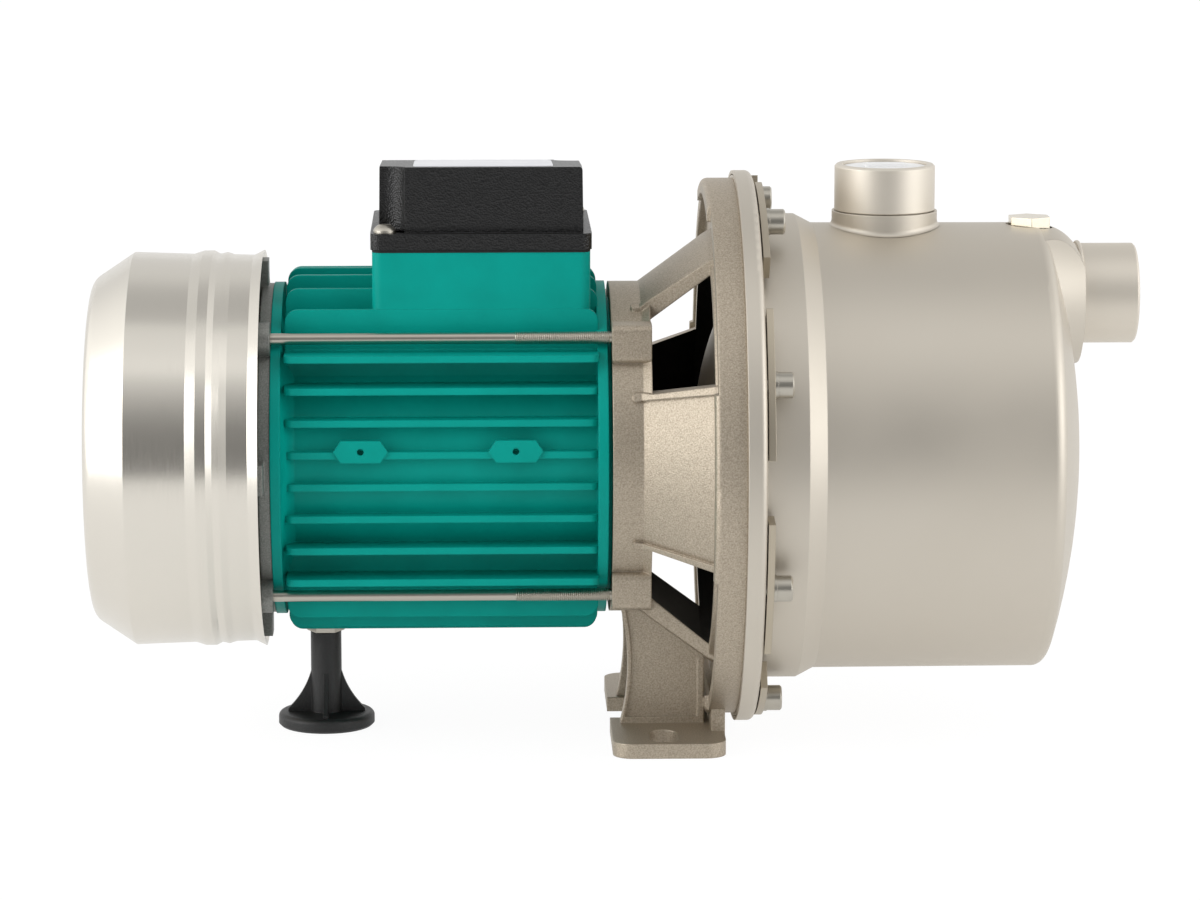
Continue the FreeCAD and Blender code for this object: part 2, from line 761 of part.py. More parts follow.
    block = new_piece("terminal_block")
    pad(block, "XY", [box_outline(f"{BOX_FRONT} - 12 - block_length", "-block_width / 2",
                                  f"{BOX_FRONT} - 12", "block_width / 2")],
        "block_height", ("0", "0", "box_floor"))
    wells = [("circle", f"{BOX_FRONT} - 12 - block_length * {share}", "0", "block_width / 8")
             for share in (0.2, 0.5, 0.8)]
    pocket(block, "XY", wells, "block_height / 2", ("0", "0", "box_floor + block_height"))

    can = new_piece("capacitor")
    turn(can, [[
        ("0", "0"),
        ("capacitor_length", "0"),
        ("capacitor_length", "capacitor_radius"),
        ("0", "capacitor_radius"),
    ]], (f"{body_rear} + lid_wall + 1", "box_floor + block_height + capacitor_radius + 1",
         "-(box_half / 2 - 3)"))
    pad(can, "XY", [box_outline(f"{body_rear} + 20", "box_half / 2 - 9", f"{body_rear} + 44",
                                "box_half / 2 + 3")], "block_height + 4", ("0", "0", "box_floor"))


def cable_gland():
    """Gland body screwed through the far wall of the box, and its clamping nut."""
    body = new_piece("cable_gland")
    wall = "box_half"
    turn(body, [[
        (f"{wall} - box_wall - 2", "gland_bore"),
        (f"{wall} + gland_hex + 8", "gland_bore"),
        (f"{wall} + gland_hex + 8", "gland_thread - 1.5"),
        (f"{wall} + gland_hex", "gland_thread - 1.5"),
        (f"{wall} + gland_hex", "gland_flats / 2"),
        (wall, "gland_flats / 2"),
        (wall, "gland_thread"),
        (f"{wall} - box_wall - 2", "gland_thread"),
    ]], ("0", "gland_z", "gland_x"), plane="YZ")
    nut = new_piece("gland_nut")
    face = f"({wall} + gland_hex)"
    turn(nut, [[
        (face, "gland_thread - 1.5 + fit_gap"),
        (f"{face} + gland_nut_length - 2", "gland_thread - 1.5 + fit_gap"),
        (f"{face} + gland_nut_length - 2", "gland_bore"),
        (f"{face} + gland_nut_length", "gland_bore"),
        (f"{face} + gland_nut_length", "gland_thread"),
        (f"{face} + gland_nut_length - 3", "gland_flats / 2 - 0.5"),
        (face, "gland_flats / 2 - 0.5"),
    ]], ("0", "gland_z", "gland_x"), plane="YZ")


def rear_end_shield():
    """Disc with a spigot in the frame, a bearing hub, ears for the rods and lugs for the cover."""
    piece = new_piece("rear_end_shield")
    spigot_end = f"({FRAME_REAR} + spigot_length)"
    hub_end = f"({REAR_BEARING} + bearing_width)"
    turn(piece, [[
        (SHIELD_REAR, "shaft_hole"),
        (SHIELD_REAR, "shield_rim"),
        (FRAME_REAR, "shield_rim"),
        (FRAME_REAR, "frame_bore - fit_gap"),
        (spigot_end, "frame_bore - fit_gap"),
        (spigot_end, "frame_bore - spigot_wall"),
        (FRAME_REAR, "frame_bore - spigot_wall"),
        (FRAME_REAR, "bearing_rim + fit_gap + hub_wall"),
        (hub_end, "bearing_rim + fit_gap + hub_wall"),
        (hub_end, "bearing_rim + fit_gap"),
        (REAR_SEAT, "bearing_rim + fit_gap"),
        (REAR_SEAT, "shaft_hole"),
    ]])
    corners = [(y, z) for y in ("rod_y", "-rod_y") for z in ("rod_z", "-rod_z")]
    ears = [("circle", y, z, "ear") for y, z in corners]
    pad(piece, "YZ", ears, "shield_thick", ("0", "0", SHIELD_REAR))
    holes = [("circle", y, z, "rod + fit_gap") for y, z in corners]
    pocket(piece, "YZ", holes, "shield_thick", ("0", "0", FRAME_REAR))
    snap = "(cover_radius - bead_dip - cover_wall - fit_gap)"
    lug = pad(piece, "YZ", [[
        ("-lug_half", "lug_root"),
        ("lug_half", "lug_root"),
        ("lug_half", f"sqrt({snap}^2 - lug_half^2)", snap),
        ("-lug_half", f"sqrt({snap}^2 - lug_half^2)"),
    ]], "lug_length + shield_thick / 2", ("0", "0", f"{SHIELD_REAR} - lug_length"))
    repeat(piece, [lug], "4")


def fan_cover():
    """Thin pressed shell: rear face, cone, drum, two beads and a flared rim; slots in the face."""
    piece = new_piece("fan_cover")
    stations = [
        (COVER_REAR, "cover_face"),
        (f"{COVER_REAR} + cover_cone", "cover_radius + cover_taper"),
        (f"{COVER_RIM} - 7 * bead_pitch", "cover_radius"),
        (f"{COVER_RIM} - 6 * bead_pitch", "cover_radius + bead_rise"),
        (f"{COVER_RIM} - 5 * bead_pitch", "cover_radius + bead_rise"),
        (f"{COVER_RIM} - 4.4 * bead_pitch", "cover_radius"),
        (f"{COVER_RIM} - 3.7 * bead_pitch", "cover_radius + bead_rise / 2"),
        (f"{COVER_RIM} - 3 * bead_pitch", "cover_radius - bead_dip / 2"),
        (f"{COVER_RIM} - bead_pitch", "cover_radius - bead_dip"),
        (COVER_RIM, "cover_radius + rim_rise"),
    ]
    outside = [(COVER_REAR, "0")] + stations
    inside = [(x, f"{r} - cover_wall") for x, r in reversed(stations)]
    inside[-1] = (f"{COVER_REAR} + cover_wall", "cover_face - 0.6 * cover_wall")
    inside.append((f"{COVER_REAR} + cover_wall", "0"))
    turn(piece, [outside + inside])
    round_edges(piece, hoop(COVER_REAR, "cover_face"), "cover_corner")
    round_edges(piece, hoop(f"{COVER_REAR} + cover_wall", "cover_face - 0.6 * cover_wall"),
                "cover_corner - cover_wall")
    slot = pocket(piece, "YZ", [slot_outline("0", "(grille_in + grille_out) / 2", "grille_slot / 2",
                                             "(grille_out - grille_in)")],
                  "3 * cover_wall", ("0", "0", f"{COVER_REAR} + 2 * cover_wall"))
    repeat(piece, [slot], "grille_slots")


def fan():
    """Hub, back plate and straight radial blades."""
    piece = new_piece("fan")
    turn(piece, [[
        (FAN_REAR, "fan_seat"),
        (FAN_FRONT, "fan_seat"),
        (FAN_FRONT, "fan_radius"),
        (f"{FAN_FRONT} - fan_plate", "fan_radius"),
        (f"{FAN_FRONT} - fan_plate", "fan_hub"),
        (FAN_REAR, "fan_hub"),
    ]])
    blade = pad(piece, "XZ", [[
        (f"{FAN_REAR} + 4", "fan_hub - 1"),
        (f"{FAN_FRONT} - fan_plate / 2", "fan_hub - 1"),
        (f"{FAN_FRONT} - fan_plate / 2", "fan_radius"),
        (f"{FAN_REAR} + 4", "fan_radius - 6"),
    ]], "fan_blade", ("0", "0", "-fan_blade / 2"))
    repeat(piece, [blade], "fan_blades")


def shaft():
    """Stepped shaft from the fan to the impeller nut."""
    piece = new_piece("shaft")
    front_shoulder = FRONT_BEARING
    rear_shoulder = f"({REAR_BEARING} + bearing_width)"
    turn(piece, [[
        (f"{FAN_REAR} - 2", "0"),
        (f"{FAN_REAR} - 2", "fan_seat"),
        (f"{FAN_FRONT} + 4", "fan_seat"),
        (f"{FAN_FRONT} + 4", "bearing_bore"),
        (rear_shoulder, "bearing_bore"),
        (rear_shoulder, "shaft_body"),
        (front_shoulder, "shaft_body"),
        (front_shoulder, "bearing_bore"),
        (f"{FRONT_SEAT} + 2", "bearing_bore"),
        (f"{FRONT_SEAT} + 2", "seal_seat_radius"),
        ("impeller_back", "seal_seat_radius"),
        ("impeller_back", "nose_radius"),
        (f"{NUT_FRONT} + 1", "nose_radius"),
        (f"{NUT_FRONT} + 1", "0"),
    ]])
    pocket(piece, "XY", [box_outline("impeller_back + 2", "-key_width / 2",
                                     f"{IMPELLER_FRONT} - 2", "key_width / 2")],
           "nose_radius", ("0", "0", "2 * nose_radius - key_height / 2"))
    key = new_piece("impeller_key")
    pad(key, "XY", [box_outline("impeller_back + 2", "-key_width / 2",
                                f"{IMPELLER_FRONT} - 2", "key_width / 2")],
        "key_height", ("0", "0", "nose_radius - key_height / 2"))


def bearing(side, station):
    """Deep groove bearing: two races, and the balls in their cage."""
    start = station
    end = f"({station} + bearing_width)"
    middle = f"({station} + bearing_width / 2)"
    pitch = "((bearing_bore + bearing_rim) / 2)"
    groove = "(ball + running_gap / 3)"
    outer = new_piece(side + "_outer_race")
    turn(outer, [box_outline(start, "bearing_rim - race", end, "bearing_rim")])
    inner = new_piece(side + "_inner_race")
    turn(inner, [box_outline(start, "bearing_bore", end, "bearing_bore + race")])
    half = f"sqrt({groove}^2 - (({pitch} - bearing_bore - race))^2)"
    for piece, sign, land in ((outer, "+", "bearing_rim - race"), (inner, "-", "bearing_bore + race")):
        turn(piece, [[
            (f"{middle} - {half}", land),
            (f"{middle} + {half}", land, groove if sign == "+" else f"-{groove}"),
            (middle, f"{pitch} {sign} {groove}", groove if sign == "+" else f"-{groove}"),
        ]], cut=True)
    balls = new_piece(side + "_balls")
    ball = turn(balls, [[
        (f"{middle} + ball", "0", "ball"),
        (middle, "ball", "ball"),
        (f"{middle} - ball", "0"),
    ]], ("0", pitch, "0"))
    repeat(balls, [ball], "balls")
    turn(balls, [box_outline(f"{middle} - ball - 0.4", f"{pitch} - cage_wall",
                             f"{middle} - ball / 3", f"{pitch} + cage_wall")])


def rotor_and_stator():
    """Laminated rotor with its end rings, slotted stator core and the two winding heads."""
    rotor = new_piece("rotor_core")
    turn(rotor, [box_outline(CORE_REAR, "shaft_body", CORE_FRONT, "rotor_radius")])
    rings = new_piece("rotor_rings")
    turn(rings, [box_outline(f"{CORE_REAR} - ring_width", "ring_bore", CORE_REAR, "rotor_radius"),
                 box_outline(CORE_FRONT, "ring_bore", f"{CORE_FRONT} + ring_width", "rotor_radius")])
    core = new_piece("stator_core")
    turn(core, [box_outline(CORE_REAR, "rotor_radius + air_gap", CORE_FRONT, "frame_bore - fit_gap")])
    slot = pocket(core, "YZ", [box_outline("-slot_half", "rotor_radius + air_gap - 1", "slot_half",
                                           "rotor_radius + air_gap + slot_depth")],
                  "core_length", ("0", "0", CORE_FRONT))
    repeat(core, [slot], "stator_slots")
    heads = new_piece("stator_windings")
    turn(heads, [
        rounded_outline(f"({CORE_REAR} - winding_length)", "winding_in", CORE_REAR, "winding_out", "4"),
        rounded_outline(CORE_FRONT, "winding_in", f"({CORE_FRONT} + winding_length)", "winding_out",
                        "4"),
    ])


def tie_rods():
    """Four long screws from the shield's ears into the bracket's bosses."""
    piece = new_piece("tie_rods")
    for y in ("rod_y", "-rod_y"):
        for z in ("rod_z", "-rod_z"):
            turn(piece, [[
                (f"{SHIELD_REAR} - rod_head_length", "0"),
                (f"{SHIELD_REAR} - rod_head_length", "rod_head"),
                (SHIELD_REAR, "rod_head"),
                (SHIELD_REAR, "rod"),
                (f"{RING_FRONT} - rod_end", "rod"),
                (f"{RING_FRONT} - rod_end", "0"),
            ]], ("0", z, f"-({y})"))


def motor_bracket():
    """Cast lantern: ring, hub and web, four ribbed panels between windows, flange and pedestal."""
    piece = new_piece("motor_bracket")
    panel_ribs(piece)
    web_rear = "(bracket_rear + web_rear)"
    web_front = "(bracket_rear + web_front)"
    cone_start = "(bracket_rear + cone_start)"
    cone_end = "(bracket_rear + cone_end)"
    seat = "(bearing_rim + fit_gap)"
    hub = f"({seat} + hub_wall)"
    lip_rear = "(flange_rear - flange_lip)"
    turn(piece, [[
        ("bracket_rear", "ring_radius"),
        ("bracket_rear", "frame_bore - fit_gap"),
        ("bracket_rear - spigot_length", "frame_bore - fit_gap"),
        ("bracket_rear - spigot_length", "frame_bore - spigot_wall"),
        (web_rear, "frame_bore - spigot_wall"),
        (web_rear, hub),
        ("bracket_rear", hub),
        ("bracket_rear", seat),
        (FRONT_SEAT, seat),
        (FRONT_SEAT, "shaft_hole"),
        (HUB_FRONT, "shaft_hole"),
        (HUB_FRONT, hub),
        (web_front, hub),
        (web_front, "ring_radius - ring_wall"),
        (cone_start, "ring_radius - ring_wall"),
        (cone_end, "cone_radius - cone_wall"),
        ("flange_rear", "flange_bore - 1"),
        ("flange_front", "flange_bore"),
        ("flange_front", "flange_radius"),
        (f"{lip_rear} + 2.5", "flange_radius", "2.5"),
        (lip_rear, "flange_radius - 2.5"),
        (lip_rear, "flange_radius - flange_lip_wall"),
        ("flange_rear", "flange_radius - flange_lip_wall"),
        ("flange_rear", "cone_radius + 2"),
        (cone_end, "cone_radius"),
        (cone_start, "ring_radius"),
    ]])
    bracket_windows(piece)
    bracket_bosses(piece)
    pedestal(piece)


def panel_ribs(piece):
    """Ribs along both edges of each panel, cut to a low rise above the ring and the cone."""
    length = f"(flange_rear - window_setback - {RING_FRONT})"
    rear = f"({RING_FRONT} - rib_lap)"
    front = "(flange_rear + 2)"
    flare = f"(panel_half + panel_flare * ({front} - {RING_FRONT}) / {length})"
    ribs = []
    for side in (1, -1):
        ribs.append([
            (rear, f"{side} * (panel_half - rib)"),
            (front, f"{side} * ({flare} - rib)"),
            (front, f"{side} * {flare}"),
            (RING_FRONT, f"{side} * panel_half"),
            (rear, f"{side} * panel_half", f"{side} * rib / 2"),
        ])
    for plane in ("XY", "XZ"):
        pad(piece, plane, ribs, "2 * flange_radius", ("0", "0", "-flange_radius"))
    cone_start = "(bracket_rear + cone_start)"
    cone_end = "(bracket_rear + cone_end)"
    slope = f"(rib_rise * sqrt(1 + ((cone_radius - ring_radius) / ({cone_end} - {cone_start}))^2))"
    behind = "(bracket_rear - 1)"
    ahead = f"({front} + 1)"
    high = "(2 * flange_radius)"
    turn(piece, [
        [
            (behind, "0"),
            (ahead, "0"),
            (ahead, "cone_radius - cone_wall / 2"),
            (cone_end, "cone_radius - cone_wall / 2"),
            (cone_start, "ring_radius - ring_wall / 2"),
            (behind, "ring_radius - ring_wall / 2"),
        ],
        [
            (behind, "ring_radius + rib_rise"),
            (f"{cone_start} - rib_rise / 2", "ring_radius + rib_rise"),
            (cone_end, f"cone_radius + {slope}"),
            (ahead, f"cone_radius + {slope} + 3"),
            (ahead, high),
            (behind, high),
        ],
    ], cut=True)


def bracket_windows(piece):
    """Cut the four windows, each between the straight edges of two panels."""
    high = "(flange_radius + 10)"
    corners = []
    for y in (1, -1):
        for z in (1, -1):
            corners.append([
                (f"{y} * panel_half", f"{z} * panel_half"),
                (f"{y} * {high}", f"{z} * panel_half"),
                (f"{y} * {high}", f"{z} * {high}"),
                (f"{y} * panel_half", f"{z} * {high}"),
            ])
    length = f"(flange_rear - window_setback - {RING_FRONT})"
    window = pocket(piece, "YZ", corners, length, ("0", "0", RING_FRONT), forward=True)
    window.setExpression("TaperAngle", cells(f"-atan(panel_flare / {length})"))
    doc.recompute()


def bracket_bosses(piece):
    """Four bosses on the ring that the tie rods screw into, and the flange's screw holes."""
    bosses = []
    for y in (1, -1):
        for z in (1, -1):
            low_y, high_y = ("boss_in", "boss_out") if y > 0 else ("-boss_out", "-boss_in")
            low_z, high_z = ("boss_low", "boss_high") if z > 0 else ("-boss_high", "-boss_low")
            bosses.append(rounded_outline(low_y, low_z, high_y, high_z, "boss_corner"))
    pad(piece, "YZ", bosses, "ring_length", ("0", "0", "bracket_rear"))
    holes = [("circle", y, z, "rod + fit_gap") for y in ("rod_y", "-rod_y") for z in ("rod_z", "-rod_z")]
    pocket(piece, "YZ", holes, "ring_length", ("0", "0", RING_FRONT))
    hole = pocket(piece, "YZ", [("circle", *BOLT_PLACE, "bolt + fit_gap")],
                  "flange_front - flange_rear", ("0", "0", "flange_front"))
    repeat(piece, [hole], "bolts")


def leg_outline(low, inset):
    """A leg from the side: waisted at the rear, upright in front, up to the ring and the cone."""
    under_ring = f"(-sqrt((ring_radius - ring_wall / 2)^2 - leg_out^2) - {inset})"
    under_cone = f"(-sqrt((cone_radius - cone_wall / 2 - 1)^2 - leg_out^2) - {inset})"
    return [
        (f"leg_rear + {inset}", low),
        (f"leg_front - {inset}", low),
        (f"leg_front - {inset}", under_cone),
        ("bracket_rear + cone_start", under_ring),
        (f"leg_rear + {inset}", under_ring, "-leg_arc"),
    ]


def pedestal(piece):
    """Foot plate with two slots, two waisted legs up to the lantern, and a block to the flange."""
    floor = "(-shaft_height)"
    front = "(plate_rear + plate_length)"
    pad(piece, "XY", [rounded_outline("plate_rear", "-plate_half", front, "plate_half",
                                      "plate_corner")], "plate_thick", ("0", "0", floor))
    low = f"({floor} + plate_thick / 2)"
    pad(piece, "XZ", [leg_outline(low, "0")], "leg_wall", ("0", "0", "leg_out - leg_wall"))
    pad(piece, "XZ", [leg_outline(low, "0")], "leg_wall", ("0", "0", "-leg_out"))
    rim = [leg_outline(low, "0"), leg_outline(f"({floor} + plate_thick + leg_rim)", "leg_rim")]
    pad(piece, "XZ", rim, "leg_rim_rise", ("0", "0", "leg_out"))
    pad(piece, "XZ", rim, "leg_rim_rise", ("0", "0", "-leg_out - leg_rim_rise"))
    into_lip = "-sqrt((flange_radius - flange_lip_wall / 2)^2 - block_half^2)"
    pad(piece, "YZ", [box_outline("-block_half", low, "block_half", into_lip)], "flange_block",
        ("0", "0", "block_rear"))
    slots = [slot_outline("0", y, "foot_slot_half", "foot_slot_length") for y in ("slot_y", "-slot_y")]
    notch = box_outline("plate_rear - 1", "-notch_half", "plate_rear + notch_depth", "notch_half")
    pocket(piece, "XY", [*slots, notch], "plate_thick", ("0", "0", f"{floor} + plate_thick"))


def dome_rim(depth):
    """Where the casing's end dome meets its rounded corner, at a depth under the skin."""
    share = f"((dome_radius - {depth}) / (dome_radius - end_corner))"
    return f"{DOME_CENTRE} + {share} * {CORNER_REACH}", f"{share} * {CORNER_RISE}"


def pump_casing():
    """Deep-drawn casing: skirt over the bracket's flange, neck, drum, and a pad for the inlet."""
    piece = new_piece("pump_casing")
    inner_face = f"({CASING_FACE} - sheet)"
    pad_rear = f"({DRUM_END} - pad_root)"
    turn(piece, [[
        (pad_rear, "pad_radius"),
        (PAD_FACE, "pad_face_radius"),
        (PAD_FACE, "0"),
        (f"{PAD_FACE} - sheet", "0"),
        (f"{PAD_FACE} - sheet", "pad_face_radius - sheet"),
        (pad_rear, "pad_radius - sheet"),
    ]], ("0", "port_z", "0"))
    crown_start = f"({DRUM_END} - pad_shoulder)"
    beyond = "(port_z + pad_radius + 2)"
    middle = "sheet / 2"
    turn(piece, [[
        (f"{pad_rear} - 1", "0"),
        (f"{DRUM_END} - {middle}", "0", f"dome_radius - {middle}"),
        (*dome_rim(middle), f"end_corner - {middle}"),
        (CORNER, f"drum_end_radius - {middle}"),
        (f"{pad_rear} - 1", f"drum_end_radius - {middle}"),
    ]], cut=True)
    turn(piece, [[
        (f"{pad_rear} - 1", "drum_end_radius - pad_crown_drop / 2"),
        (crown_start, "drum_end_radius - pad_crown_drop", "-pad_crown"),
        (PAD_FACE, "pad_crown_top"),
        (f"{PAD_FACE} + 1", "pad_crown_top"),
        (f"{PAD_FACE} + 1", beyond),
        (f"{pad_rear} - 1", beyond),
    ]], cut=True)
    turn(piece, [[
        ("flange_front", "skirt_radius"),
        (CASING_FACE, "skirt_radius"),
        (CASING_FACE, "neck_radius"),
        (NECK_END, "neck_radius"),
        (DRUM_START, "drum_radius"),
        (CORNER, "drum_end_radius", "-end_corner"),
        (*dome_rim("0"), "-dome_radius"),
        (DRUM_END, "0"),
        (f"{DRUM_END} - sheet", "0", "dome_radius - sheet"),
        (*dome_rim("sheet"), "end_corner - sheet"),
        (CORNER, "drum_end_radius - sheet"),
        (f"{DRUM_START} - sheet / 3", "drum_radius - sheet"),
        (f"{NECK_END} - sheet / 3", "neck_radius - sheet"),
        (inner_face, "neck_radius - sheet"),
        (inner_face, "skirt_radius - sheet"),
        ("flange_front", "skirt_radius - sheet"),
    ]])
    round_edges(piece, hoop(CASING_FACE, "skirt_radius"), "skirt_corner")
    pocket(piece, "YZ", [("circle", "0", "port_z", "port_radius")], "pad_depth + pad_root + sheet",
           ("0", "0", PAD_FACE))
    collar_root = "(drum_radius - 2 * sheet)"
    pad(piece, "XY", [("circle", "discharge_x", "0", "collar_radius")], f"collar_top - {collar_root}",
        ("0", "0", collar_root))
    pocket(piece, "XY", [("circle", "discharge_x", "0", "port_bore")], "collar_top - drum_radius + 12",
           ("0", "0", "collar_top"))
    hole = pocket(piece, "XY", [("circle", "priming_x", "0", "plug_boss")], "6 * sheet",
                  ("0", "0", "drum_radius + 1"))
    holes = repeat(piece, [hole], "2")
    holes.setExpression("Angle", cells("drain_angle * 1 deg"))
    doc.recompute()
    hole = pocket(piece, "YZ", [("circle", *BOLT_PLACE, "bolt + running_gap")], "sheet",
                  ("0", "0", CASING_FACE))
    repeat(piece, [hole], "bolts")


def ports():
    """Threaded sockets of the two ports, and the transport cap in the upper one."""
    suction = new_piece("suction_port")
    turn(suction, [[
        (PORT_TAIL, "elbow_out + running_gap"),
        (f"{PORT_TAIL} + tail_step", "elbow_out + running_gap"),
        (f"{PORT_TAIL} + tail_step", "port_bore"),
        (PORT_END, "port_bore"),
        (PORT_END, "port_radius"),
        (PORT_TAIL, "port_radius"),
    ]], ("0", "port_z", "0"))
    round_edges(suction, lambda edge: abs(edge.CenterOfMass.x - number(PORT_END)) < 0.05,
                "port_edge", "Chamfer")

    discharge = new_piece("discharge_port")
    top = "discharge_top"
    base = "(collar_top + collar_gap)"
    turn(discharge, [[
        ("port_bore", "collar_top"),
        ("collar_radius - 2", "collar_top"),
        ("collar_radius - 2", base),
        ("port_radius", base),
        ("port_radius", f"{top} - port_edge"),
        ("port_radius - port_edge", top),
        ("cap_radius + running_gap", top),
        ("cap_radius + running_gap", f"{top} - cap_recess"),
        ("port_bore", f"{top} - cap_recess"),
    ]], ("discharge_x", "0", "0"), axis="V_Axis")

    cap = new_piece("discharge_cap")
    seat = f"({top} - cap_recess)"
    turn(cap, [[
        ("0", seat),
        ("cap_radius", seat),
        ("cap_radius", f"{seat} + cap_thick"),
        ("0", f"{seat} + cap_thick"),
    ]], ("discharge_x", "0", "0"), axis="V_Axis")
    pad(cap, "XY", [rounded_outline("discharge_x - cap_grip_half", "-cap_grip_half / 2",
                                    "discharge_x + cap_grip_half", "cap_grip_half / 2", "1.5")],
        "cap_grip", ("0", "0", f"{seat} + cap_thick"))


def plug(name, turned):
    """A welded boss in the drum's wall and its hexagon plug, turned round the shaft from the top."""
    boss = new_piece(name + "_boss")
    screw = new_piece(name + "_plug")
    seat = "(priming_top - priming_hex)"
    at = ("priming_x", "0", "0")
    turn(boss, [box_outline("(plug_radius + 2 * fit_gap)", f"{seat} - plug_boss_length", "plug_boss",
                            seat)], at, axis="V_Axis")
    turn(screw, [box_outline("0", f"{seat} - plug_length", "plug_radius", f"{seat} + fit_gap")], at,
         axis="V_Axis")
    pad(screw, "XY", [hexagon_outline("priming_x", "0", "priming_flats", 30)],
        "priming_hex - fit_gap", ("0", "0", f"{seat} + fit_gap"))
    for piece in (boss, screw):
        piece.Placement.Rotation = FreeCAD.Rotation(Vector(1, 0, 0), number(turned))
        piece.setExpression("Placement.Rotation.Angle", cells(f"{turned} * 1 deg"))


def casing_cover():
    """Dished cover plate with the seal's hub, and the O-ring between it and the casing."""
    piece = new_piece("casing_cover")
    hub_base = f"({SEAL_FACE} + cover_plate)"
    turn(piece, [[
        ("flange_front", "cover_rim"),
        ("flange_front", "dish_radius", "dish_arc"),
        (DISH_FLOOR, "seal_hub"),
        (f"{SEAL_FACE} - cover_plate", "seal_hub"),
        (f"{SEAL_FACE} - cover_plate", "seal_hole"),
        (SEAL_FACE, "seal_hole"),
        (SEAL_FACE, "seal_pocket"),
        (f"{hub_base} + cover_plate", "seal_pocket", "-(dish_arc - cover_plate)"),
        (COVER_FRONT, "dish_radius - cover_plate / 5"),
        (COVER_FRONT, "cover_rim"),
    ]])
    hole = pocket(piece, "YZ", [("circle", *BOLT_PLACE, "bolt + running_gap")], "cover_plate",
                  ("0", "0", COVER_FRONT))
    repeat(piece, [hole], "bolts")
    ring = new_piece("casing_o_ring")
    section = f"(({CASING_FACE} - sheet - {COVER_FRONT}) / 2)"
    turn(ring, [("circle", f"{COVER_FRONT} + {section}", "o_ring_radius", section)])


def clamp_set():
    """Eight arc plates on the casing's flange, each with a socket screw and a spring washer."""
    plates = new_piece("clamp_plates")
    half = "clamp_half_angle * 1 deg"
    plate = pad(plates, "YZ", [[
        (f"clamp_in * sin({half})", f"clamp_in * cos({half})"),
        (f"clamp_out * sin({half})", f"clamp_out * cos({half})", "clamp_out"),
        (f"-clamp_out * sin({half})", f"clamp_out * cos({half})"),
        (f"-clamp_in * sin({half})", f"clamp_in * cos({half})", "-clamp_in"),
    ]], "clamp_thick", ("0", "0", CLAMP_REAR))
    hole = pocket(plates, "YZ", [("circle", "0", "bolt_circle", "bolt + running_gap")], "clamp_thick",
                  ("0", "0", CLAMP_FRONT))
    repeat(plates, [plate, hole], "bolts")
    screws = new_piece("flange_screws")
    head_end = f"({BOLT_SEAT} + bolt_head_length)"
    screw = turn(screws, [[
        ("flange_front - bolt_reach", "0"),
        ("flange_front - bolt_reach", "bolt"),
        (BOLT_SEAT, "bolt"),
        (BOLT_SEAT, "bolt_head"),
        (f"{head_end} - 0.6", "bolt_head"),
        (head_end, "bolt_head - 0.6"),
        (head_end, "bolt_socket"),
        (f"{head_end} - bolt_head_length / 2", "bolt_socket"),
        (f"{head_end} - bolt_head_length / 2", "0"),
    ]], ("0", "bolt_circle", "0"))
    repeat(screws, [screw], "bolts")
    washers = new_piece("spring_washers")
    washer = turn(washers, [box_outline(CLAMP_FRONT, "bolt + fit_gap", BOLT_SEAT, "bolt_head + 0.3")],
                  ("0", "bolt_circle", "0"))
    repeat(washers, [washer], "bolts")
    for piece in (plates, screws, washers):
        piece.Placement.Rotation = FreeCAD.Rotation(Vector(1, 0, 0), number("180 / bolts"))
        piece.setExpression("Placement.Rotation.Angle", cells("180 deg / bolts"))


def shaft_seal():
    """Ceramic seat in the cover, turning seal head, slinger, and the rear bearing's washer."""
    seat = new_piece("seal_seat")
    turn(seat, [box_outline(SEAL_FACE, "seal_hole", f"{SEAL_FACE} + seat_length", "seal_pocket")])
    head = new_piece("seal_head")
    turn(head, [[
        (HEAD_REAR, "seal_seat_radius"),
        (HEAD_REAR, "head_radius"),
        (f"{HEAD_REAR} + 5", "head_radius"),
        (f"{HEAD_REAR} + 5", "head_radius - 2.5"),
        ("impeller_back - 4", "head_radius - 2.5"),
        ("impeller_back - 4", "head_radius"),
        ("impeller_back", "head_radius"),
        ("impeller_back", "seal_seat_radius"),
    ]])
    slinger = new_piece("slinger")
    turn(slinger, [[
        (f"{HUB_FRONT} + 4", "seal_seat_radius"),
        (f"{HUB_FRONT} + 4", "head_radius + 1"),
        (f"{HUB_FRONT} + 5.5", "head_radius + 1"),
        (f"{HUB_FRONT} + 8", "seal_seat_radius + 3"),
        (f"{HUB_FRONT} + 8", "seal_seat_radius"),
    ]])
    washer = new_piece("wave_washer")
    turn(washer, [box_outline(REAR_SEAT, "bearing_rim - 1.4 * race", REAR_BEARING,
                              "bearing_rim - fit_gap")])


